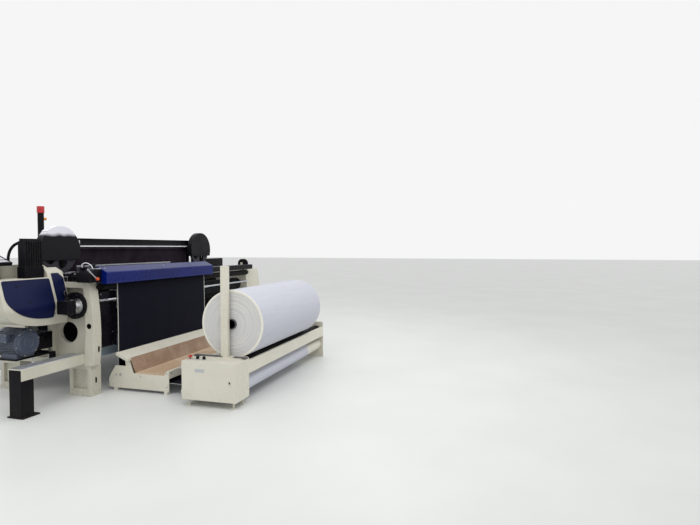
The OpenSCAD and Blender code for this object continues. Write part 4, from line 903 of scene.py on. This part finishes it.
def makeHealds():
    h = harness
    left, right, stay, pitch, reach, eye = (h[key] for key in ("left", "right", "stay", "wirePitch", "eyeReach", "eye"))
    low, high, w = h["low"] + h["rail"], h["high"] - h["rail"], h["wire"] / 2
    for i, share in enumerate(h["stagger"]):
        front = h["y"] + i * h["pitch"]
        back = front + h["thick"]
        body = f"heald_frame_{i + 1}"
        box((left, front, h["low"]), (right, back, low))
        box((left, front, high), (right, back, h["high"]))
        for x in (left, right - stay):
            box((x, front + 0.0005, low), (x + stay, back - 0.0005, high))
        for z in (low, high - h["lip"]):
            box((left + stay, front + 0.002, z), (right - stay, back - 0.002, z + h["lip"]))
        emit(f"heald_rails_{i + 1}", "alloy", healdMetal, 0.001, body=body, node=body)
        depth = [(front + back) / 2 + side * h["wireThick"] for side in (-1, 1)]
        x = left + stay + 0.004 + share * pitch
        for start, end in ((low + 0.001, eye - reach), (eye + reach, high - 0.001)):
            box((x - w, depth[0], start), (x + w, depth[1], end))
        for side in (-w, w):
            slab([(x + side * 0.1, eye - reach), (x + side * 0.65, eye), (x + side * 0.1, eye + reach),
                  (x + side, eye + reach), (x + side * 1.15, eye), (x + side, eye - reach)], *depth, "Y")
        count = int((right - left - 2 * stay - 0.008) / pitch)
        repeated(f"heald_wires_{i + 1}", "bright_steel", healdWire, count, (pitch, 0, 0), body=body)


reedShape = {"left": -1.175, "right": 0.445, "y": 0.415, "thick": 0.006, "low": 1.120, "high": 1.300,
             "foot": 0.034, "cap": 0.014, "pitch": 0.0038, "dent": 0.0007}


def makeReed():
    r = reedShape
    left, right, y, low, high = (r[key] for key in ("left", "right", "y", "low", "high"))
    for start, end in ((low, low + r["foot"]), (high - r["cap"], high)):
        box((left, y, start), (right, y + r["thick"], end))
    emit("reed_caps", "bright_steel", alloy, 0.001, body="sley", node="reed")
    x = left + 0.004
    box((x, y + 0.0008, low + 0.03), (x + r["dent"], y + 0.0052, high - r["cap"] + 0.002))
    repeated("reed_dents", "bright_steel", steel, int((right - left - 0.008) / r["pitch"]), (r["pitch"], 0, 0),
             body="sley")


stopMotion = {"y": (0.800, 0.900), "beam": (1.040, 1.080), "ends": (-1.380, 1.740), "posts": (-1.270, 0.522),
              "post": (0.018, 1.1895), "bars": (-1.262, 0.532), "barHigh": 0.018, "low": 1.100, "high": 1.1975,
              "rows": 4, "rowPitch": 0.024, "pitch": 0.0084, "left": -1.250, "right": 0.516, "wire": 0.0062}


def makeStopMotion():
    s = stopMotion
    (front, back), (under, top), left, low, high = s["y"], s["beam"], s["left"], s["low"], s["high"]
    box((s["ends"][0], front, under), (s["ends"][1], back, top))
    for x in s["posts"]:
        box((x, front, top), (x + s["post"][0], back, s["post"][1]))
    for k in range(s["rows"]):
        y = front + 0.012 + k * s["rowPitch"]
        box((s["bars"][0], y, low), (s["bars"][1], y + 0.005, low + s["barHigh"]))
    emit("stop_motion_beam", "bright_steel", alloy, 0.001, node="stop_motion")
    y, right = front + 0.0142, left + s["wire"]
    slab([(left, low + 0.012), (right, low + 0.012), (right, high - 0.008), ((left + right) / 2, high),
          (left, high - 0.008)], y, y + 0.0006, "Y")
    repeated("drop_wires", "bright_steel", steel, int((s["right"] - left) / s["pitch"]), (s["pitch"], 0, 0), s["rows"],
             (0.0021, s["rowPitch"], 0))


makeHealds()
makeReed()
makeStopMotion()
print("harness, reed and stop motion done")

# left end; the motor's end is given as (depth behind its front, share of its radius)
mainMotor = {"at": (-1.810, 0.585), "front": 0.360, "radius": 0.140, "fins": 44, "fin": (0.0016, 0.042, 0.262),
             "end": ((-0.001, 0.0), (-0.001, 0.28), (-0.004, 0.30), (-0.004, 0.40), (0.002, 0.44), (0.002, 0.62),
                     (-0.003, 0.66), (-0.003, 0.74), (0.016, 0.80), (0.022, 0.93), (0.038, 0.95), (0.040, 0.90),
                     (0.040, 0.0)),
             "box": ((-0.165, 0.09, 0.02), (-0.115, 0.20, 0.10))}


def makeMainMotor():
    (x, z), y, r, (half, start, end) = (mainMotor[key] for key in ("at", "front", "radius", "fin"))
    lathe([(y + depth, r * share) for depth, share in mainMotor["end"]], (x, z), "Y", 64)
    emit("motor_end", "motor_paint", motorPaint, 0.0015)
    box((x - half, y + start, z + r - 0.024), (x + half, y + end, z + r - 0.0015))
    around("motor_fins", "motor_paint", motorPaint, mainMotor["fins"], (x, 0, z), (0, 1, 0))
    box(*(Vector((x, y, z)) + Vector(corner) for corner in mainMotor["box"]))
    emit("motor_box", "motor_paint", motorPaint, 0.006, 3)
    bolts("motor_bolts", (x, y + 0.0205, z), r * 0.86, 6, (0, -1, 0))
    screws("motor_box_screws", [((x - 0.165, y + 0.10 + 0.09 * i, z + 0.03 + 0.06 * j), (-1, 0, 0))
                                for i in (0, 1) for j in (0, 1)], 0.0035, 0.003, 0.005)


servo = {"at": (0.120, 0.915), "body": (0.075, 0.915), "flange": (-1.600, -1.531), "disc": -1.515,
         "band": (0.060, 0.0740), "plate": ((-1.690, 0.040, 0.9795), (-1.610, 0.110, 0.9820)),
         "plugs": ((-1.66, 0.050), (-1.63, 0.100))}
leads = {
    "servo_power_lead": (0.0055, "black_parts", rubber, [
        (-1.66, 0.050, 1.008), (-1.665, 0.054, 1.045), (-1.640, 0.090, 1.070), (-1.590, 0.150, 1.060),
        (-1.540, 0.190, 1.030), (-1.500, 0.215, 1.000), (-1.430, 0.220, 0.985)]),
    "servo_signal_lead": (0.0042, "black_parts", rubber, [
        (-1.63, 0.100, 1.006), (-1.632, 0.104, 1.035), (-1.605, 0.140, 1.052), (-1.560, 0.205, 1.020),
        (-1.520, 0.235, 0.985), (-1.480, 0.245, 0.970), (-1.430, 0.245, 0.960)]),
    "bracket_lead_left": (0.0045, "pale_guard", palePlastic, [
        (-1.505, 0.020, 1.294), (-1.512, 0.018, 1.325), (-1.500, -0.020, 1.342), (-1.485, -0.065, 1.320),
        (-1.480, -0.085, 1.282)]),
    "bracket_lead_right": (0.004, "black_parts", rubber, [
        (-1.485, 0.018, 1.294), (-1.488, 0.014, 1.316), (-1.470, -0.018, 1.326), (-1.445, -0.060, 1.310),
        (-1.440, -0.080, 1.282)]),
    "control_box_lead": (0.0045, "black_parts", rubber, [
        (-1.486, 0.142, 1.169), (-1.510, 0.138, 1.176), (-1.530, 0.112, 1.170), (-1.524, 0.080, 1.158),
        (-1.502, 0.060, 1.156), (-1.486, 0.052, 1.157)]),
}


def makeServo():
    s, x = servo, servo["disc"]
    lathe([(x - 0.0005, 0.0), (x - 0.0005, 0.126), (x - 0.0065, 0.126), (x - 0.0105, 0.098), (x - 0.0105, 0.0)],
          s["at"], "X", 72)
    emit("servo_plate", "black_parts", blackPaint, 0.001)
    inner, outer = s["band"]
    for x in s["flange"]:
        lathe([(x - 0.003, inner), (x - 0.003, outer), (x + 0.003, outer), (x + 0.003, inner), (x - 0.003, inner)],
              s["body"], "X", 64)
    box(*s["plate"])
    emit("servo_bands", "bright_steel", steel, 0.0008)
    for x, y in s["plugs"]:
        pin((x, y, 0.981), (x, y, 1.004), 0.014, 20)
        pin((x, y, 1.004), (x, y, 1.014), 0.011, 20, 0.008)
    emit("servo_plugs", "black_parts", blackPlastic, 0.0012)
    bolts("servo_bolts", (s["disc"] - 0.0055, *s["at"]), 0.112, 8, (-1, 0, 0), washer=0.009, material=darkSteel)


selector = {"x": -1.850, "back": 0.394, "top": 1.540, "bend": 0.160, "rim": 1.330, "radius": 0.0125, "rib": 0.0014,
            "pitch": 0.009}


def makeSelectorHose():
    # ribbed hose where the solid one is: a quarter bend, then straight down to the housing's rim
    h = selector
    x, back, top, bend, rim = (h[key] for key in ("x", "back", "top", "bend", "rim"))
    points = [(x, back + bend * math.sin(a), top - bend * (1 - math.cos(a)))
              for a in (math.radians(10 * k) for k in range(10))]
    points += [(x, back + bend, (top - bend + rim) / 2), (x, back + bend, rim)]
    hose("selector_hose", h["radius"], "black_parts", rubber, points, h["rib"], h["pitch"], 18)
    lathe([(rim - 0.001, 0.0), (rim - 0.001, 0.022), (rim + 0.008, 0.022), (rim + 0.012, 0.017), (rim + 0.012, 0.0)],
          (x, back + bend), "Z", 32)
    emit("hose_gland", "black_parts", blackPlastic, 0.0008)


terminalShape = {"centre": (-2.050, 0.500, 1.372), "tilt": 23.0, "size": (0.200, 0.240, 0.034),
                 "keys": 7, "keyPitch": (0.0230, 0.021)}


def makeTerminal():
    t = terminalShape
    turn = Matrix.Translation(t["centre"]) @ Matrix.Rotation(math.radians(t["tilt"]), 4, "X")
    (w, l, d), (across, down) = t["size"], t["keyPitch"]
    for name, inset, start, under, material in (("terminal_screen", 0.022, -0.046, 0.0012, displayGlass),
                                                ("terminal_bezel", 0.018, -0.050, 0.002, blackPlastic)):
        box((-w / 2 + inset, start, d - 0.004), (w / 2 - inset, l / 2 - inset, d - under))
        draft[0].transform(turn)
        emit(name, "black_parts", material, 0.0006, body="terminal")
    box((-w / 2 + 0.022, -l / 2 + 0.020, d - 0.0035), (-w / 2 + 0.040, -l / 2 + 0.034, d - 0.0005))
    draft[0].transform(turn)
    step, rowStep = (tuple(turn.to_3x3() @ Vector(way)) for way in ((across, 0, 0), (0, down, 0)))
    repeated("terminal_keys", "pale_guard", palePlastic, t["keys"], step, 2, rowStep, body="terminal")


# (X, Z) of what sits on the housing's front
housingFront = {"screws": ((-2.12, 1.17), (-1.69, 1.17), (-1.69, 0.86), (-1.60, 1.222), (-1.515, 1.17),
                           (-1.60, 0.985)), "catches": ((-2.02, 1.14), (-1.93, 0.99))}


def frontAt(z):
    # Y of the housing's front at a height: it leans back towards the floor
    return 0.290 - 0.28 * (1.255 - z)


def makeHousingDetail():
    screws("panel_screws", [((x, frontAt(z) - 0.0062, z), (0, -0.96, 0.26)) for x, z in housingFront["screws"]],
           0.004, 0.002, 0.0055, 12, blackPlastic)
    for x, z in housingFront["catches"]:
        y = frontAt(z) - 0.0055
        pin((x, y, z), (x, y - 0.004, z + 0.001), 0.0095, 24)
    emit("panel_catches", "black_parts", blackPlastic, 0.001)


bracket = {"top": 1.280, "edgeY": -0.114, "right": -1.407, "corner": -1.470, "posts": (-1.452, -1.418),
           "grip": (-1.465, -1.405), "gripY": -0.040}


def makeBracketGroup():
    # handle and edge of the black bracket beside the cover
    b = bracket
    top, y, corner = b["top"], b["edgeY"], b["corner"]
    for x in b["posts"]:
        pin((x, -0.030, top - 0.002), (x, b["gripY"], top + 0.040), 0.006, 16)
    pin(*((x, b["gripY"], top + 0.040) for x in b["grip"]), 0.011, 20)
    box((-1.520, 0.000, top - 0.001), (corner, 0.036, top + 0.016))
    emit("bracket_handle", "black_parts", blackPlastic, 0.0012)
    box((corner, y, top - 0.001), (b["right"], y + 0.003, top + 0.010))
    box((corner, y, top - 0.001), (corner + 0.003, 0.030, top + 0.010))
    emit("bracket_edge", "alloy", alloy, 0.0006)


controlBox = {"outline": ((0.046, 1.1505), (0.046, 1.212), (0.100, 1.246), (0.176, 1.246), (0.232, 1.198),
                          (0.232, 1.1505)), "x": (-1.478, -1.400), "glands": (0.120, 0.156),
              "plates": (((-1.4790, 0.128, 1.222), (-1.4770, 0.150, 1.236)),
                         ((-1.450, 0.118, 1.2455), (-1.428, 0.160, 1.2485)))}


def makeControlBox():
    c = controlBox
    slab(c["outline"], *c["x"], "X")
    box((-1.4825, 0.060, 1.1505), (-1.398, 0.070, 1.206))
    for y in c["glands"]:
        pin((-1.476, y, 1.200), (-1.498, y, 1.200), 0.012, 20)
        pin((-1.498, y, 1.200), (-1.508, y, 1.200), 0.009, 20, 0.006)
    emit("control_box", "black_parts", blackPaint, 0.002)
    screws("control_box_screws", [((x, y, 1.246), (0, 0, 1)) for x in (-1.468, -1.410) for y in (0.108, 0.168)],
           0.003, 0.003, 0.0058, 12)
    for plate in c["plates"]:
        box(*plate)
    emit("control_box_plates", "alloy", alloy, 0.0006)


sideGuard = {"x": (-1.366, -1.184), "y": (-0.058, -0.055), "z": (0.475, 1.045), "return": -0.097,
             "gap": (0.930, 0.968), "tabs": (0.600, 1.000), "tabEnd": -1.380}


def makeSideGuard():
    # a folded sheet beside the cloth, hung from the column by two tabs
    (left, right), (front, back), (low, high), (under, over) = (sideGuard[key] for key in ("x", "y", "z", "gap"))
    box((left, front, low), (right, back, high))
    for start, end in ((low, under), (over, high)):
        box((right - 0.003, sideGuard["return"], start), (right, back, end))
    for z in sideGuard["tabs"]:
        x = sideGuard["tabEnd"]
        box((x, front, z), (left + 0.004, back, z + 0.034))
        box((x, front, z), (x + 0.003, -0.030, z + 0.034))
    emit("side_guard", "black_parts", hoodPaintedReflection, 0.0008)
    places = [((x, front, z), (0, -1, 0)) for x in (left + 0.012, right - 0.012) for z in (0.500, 0.617, 1.017)]
    screws("side_guard_screws", places, 0.003, 0.0026, 0.0052, 12)


def makeStrutAndEdge():
    # pale foot of the hood, and the strip under the top beam, painted pale as a painted highlight
    box((-1.204, 0.352, 1.470), (-1.190, 0.374, 1.570))
    box((-1.222, 0.352, 1.462), (-1.186, 0.374, 1.472))
    emit("hood_strut", "pale_guard", palePlastic, 0.0012)
    box((-1.300, 0.4405, 1.502), (0.980, 0.4465, 1.516))
    emit("beam_edge_painted_highlight", "alloy", palePlastic, 0.001)


makeMainMotor()
makeServo()
makeBracketGroup()
makeControlBox()
makeSideGuard()
makeStrutAndEdge()
for name, (radius, slot, material, points) in leads.items():
    hose(name, radius, slot, material, points)
makeSelectorHose()
makeTerminal()
makeHousingDetail()
print("left end done")

# column: latches as (X, front, Z), screws on the frames' tops and sides, anchors in the feet
column = {"slots": ((-1.416, -0.0815, 0.475), (-1.400, -0.0260, 0.153)), "slotRadius": 0.009, "slotHalf": 0.020,
          "topX": (-1.40, -1.46), "topY": (0.0, 0.18), "top": 1.1505, "side": -1.485, "sideY": (0.55, 0.70, 1.02),
          "sideZ": (1.120, 0.340), "twice": 0.36, "anchorX": (-1.400, 1.760), "anchorY": (0.259, 1.165)}


def makeColumnDetail():
    c, r, half = column, column["slotRadius"], column["slotHalf"]
    for x, front, z in c["slots"]:
        y = front - 0.004
        slab([(x + r * math.cos(a), z + (half if math.sin(a) > 0 else -half) + r * math.sin(a))
              for a in (math.radians(d) for d in range(0, 360, 20))], y, y + 0.02, "Y")
        box((x - 0.003, y - 0.006, z - 0.004), (x + 0.003, y, z + 0.022))
    emit("column_latches", "black_metal", blackPaint, 0.0008)
    places = [((x, y, c["top"]), (0, 0, 1)) for x in c["topX"] for y in c["topY"]]
    places += [((c["side"], y, z), (-1, 0, 0)) for y in c["sideY"] for z in c["sideZ"]]
    mirror = [((c["twice"] - p[0], p[1], p[2]), (-way[0], way[1], way[2])) for p, way in places]
    screws("frame_screws", places, 0.009, 0.007, 0.013)
    screws("right_frame_screws", mirror, 0.009, 0.007, 0.013)
    screws("anchor_nuts", [((x, y, 0.018), (0, 0, 1)) for x in c["anchorX"] for y in c["anchorY"]], 0.013, 0.014, 0.020)


tread = {"x": (-2.165, -1.535), "y": 0.052, "top": 0.438, "pitch": 0.021, "rows": 6, "stud": (0.0055, 0.0048)}


def makeTread():
    (left, right), top, pitch, (foot, crown) = (tread[key] for key in ("x", "top", "pitch", "stud"))
    lathe([(top - 0.0005, 0.0), (top - 0.0005, foot), (top + 0.0012, crown), (top + 0.0018, 0.0)],
          (left + 0.01, tread["y"]), "Z", 10)
    repeated("tread_studs", "bright_steel", steel, int((right - left) / pitch), (pitch, 0, 0), tread["rows"],
             (0.0, pitch, 0), smooth=True)


cover = {"screws": (-1.36, -0.42, 0.52), "screwY": -0.115, "screwZ": 1.2815,
         "hem": ((-1.4045, -0.1835, 1.1305), (0.5595, -0.1795, 1.1425))}


def makeCoverDetail():
    screws("cover_screws", [((x, cover["screwY"], cover["screwZ"]), (0, -0.42, 0.9)) for x in cover["screws"]],
           0.006, 0.004, 0.009, 16)
    box(*cover["hem"])
    emit("cover_hem", "blue_cover", bluePaint, 0.0012)


makeColumnDetail()
makeTread()
makeCoverDetail()
print("column, tread and cover details done")

# batcher and platform details
cabinet = {"left": -1.4623, "plateY": (-1.315, -1.215), "plateZ": (0.330, 0.362), "latch": (-1.580, 0.252),
           "hinge": (-1.0665, (0.13, 0.37)), "ringX": -1.360, "ringY": (-1.100, -1.180, -1.250),
           "ringZ": (0.4302, 0.4316), "ring": (0.016, 0.024), "barX": (-1.262, -1.213), "barZ": (0.4305, 0.4450),
           "barY": ((-1.638, -1.500), (-1.385, -1.072)), "boltY": (-1.60, -1.11), "boltZ": (0.10, 0.30, 0.44)}


def makeCabinetDetail():
    c, x = cabinet, cabinet["left"]
    (front, back), (low, high) = c["plateY"], c["plateZ"]
    box((x - 0.0015, front, low), (x + 0.001, back, high))
    emit("bare_plate", "alloy", alloy, 0.0008, body="cabinet_door")
    y, z = c["latch"]
    pin((x - 0.0045, y, z), (x - 0.0075, y, z), 0.008, 20)
    box((x - 0.0095, y - 0.0025, z - 0.012), (x - 0.007, y + 0.0025, z + 0.012))
    emit("door_latch", "black_parts", blackPlastic, 0.0006, body="cabinet_door")
    y, heights = c["hinge"]
    for z in heights:
        pin((x + 0.004, y, z - 0.022), (x + 0.004, y, z + 0.022), 0.005, 16)
    emit("door_hinges", "bright_steel", steel, 0.0006, body="cabinet_door")
    screws("plate_pins", [((x - 0.0015, y, 0.346), (-1, 0, 0)) for y in (front + 0.006, back - 0.006)],
           0.002, 0.0012, 0.0026, 10, body="cabinet_door")
    (low, high), (inner, outer) = c["ringZ"], c["ring"]
    for y in c["ringY"]:
        lathe([(low, outer), (high, outer), (high, inner), (low, inner), (low, outer)], (c["ringX"], y), "Z", 32)
    emit("control_rings", "bright_steel", alloy, 0.0004)
    for start, end in c["barY"]:
        box((c["barX"][0], start, c["barZ"][0]), (c["barX"][1], end, c["barZ"][1]))
    emit("cabinet_bar", "bright_steel", darkSteel, 0.0015)
    places = [((-1.2126, y, c["boltZ"][-1]), (-1, 0, 0)) for y in c["boltY"]]
    places += [((0.952, y, z), (1, 0, 0)) for y in c["boltY"] for z in c["boltZ"]]
    screws("plate_screws", places, 0.006, 0.005, 0.010)


platform = {"left": -1.200, "front": -0.740, "bay": 0.4275,
            "side": ((-0.715, 0.215), (-0.715, 0.075), (-0.40, 0.165), (-0.10, 0.165)),
            "joint": ((-1.19, -0.713, 0.1899), (0.50, -0.7105, 0.1908)), "joints": 7, "jointPitch": 0.053}


def makePlatformDetail():
    p = platform
    places = [((p["left"], y, z), (-1, 0, 0)) for y, z in p["side"]]
    places += [((p["left"] + bays * p["bay"], p["front"], 0.215), (0, -1, 0)) for bays in (0.1, 1, 2, 3, 3.9)]
    screws("platform_screws", places, 0.006, 0.004, 0.009)
    box(*p["joint"])
    repeated("board_joints", "deck_wood", rampWood, p["joints"], (0, p["jointPitch"], 0))


makeCabinetDetail()
makePlatformDetail()
print("batcher and platform details done")

# camera, light and floor
view = {"place": (-5.56, -3.92, 1.50), "turn": (88.24, 0.0, -73.77), "lens": 25.97}
camera = linked("camera", bpy.data.cameras.new("camera"))
camera.location = view["place"]
camera.rotation_euler = [math.radians(a) for a in view["turn"]]
camera.data.lens, camera.data.clip_end = view["lens"], 200
bpy.context.scene.camera = camera

# (place, target, width, depth, power)
lamps = {"ceilingLeft": ((-3.4, -2.2, 4.4), (0, 0, 0.6), 5.0, 1.6, 80),
         "ceilingRight": ((2.2, -2.8, 4.4), (0, 0, 0.6), 5.0, 1.6, 56),
         "rear": ((0.5, 4.2, 4.2), (0, 0.4, 0.8), 5.0, 2.0, 50)}
for name, (place, target, wide, deep, power) in lamps.items():
    lamp = bpy.data.lights.new(name, "AREA")
    lamp.shape, lamp.size, lamp.size_y, lamp.energy = "RECTANGLE", wide, deep, power
    holder = linked(name, lamp)
    holder.location = place
    holder.rotation_euler = (Vector(target) - Vector(place)).to_track_quat("-Z", "Y").to_euler()

floorMesh = bpy.data.meshes.new("floor")
floorMesh.from_pydata([(x, y, -0.0005) for x, y in ((-60, -60), (60, -60), (60, 60), (-60, 60))], [], [(0, 1, 2, 3)])
surface = Surface("studioFloor")
tone = surface.mixed(surface.span(surface.grain(0.8, 3), 0.3, 0.7), (226, 228, 226), (220, 222, 220))
floorMesh.materials.append(surface.close(tone, 0.45))
linked("floor", floorMesh)

world = bpy.data.worlds.new("studio")
world.use_nodes = True
bpy.context.scene.world = world
sky = world.node_tree
rays = [put(sky, "ShaderNodeLightPath", out=kind) for kind in ("Is Camera Ray", "Is Glossy Ray")]
bright = put(sky, "ShaderNodeMapRange", {"Value": calc(sky, "MAXIMUM", *rays), "To Min": 0.78, "To Max": 0.92})
fill(sky, sky.nodes["Background"], {"Color": (1.0, 1.0, 1.0, 1.0), "Strength": bright})
bpy.context.scene.view_settings.view_transform = "Standard"
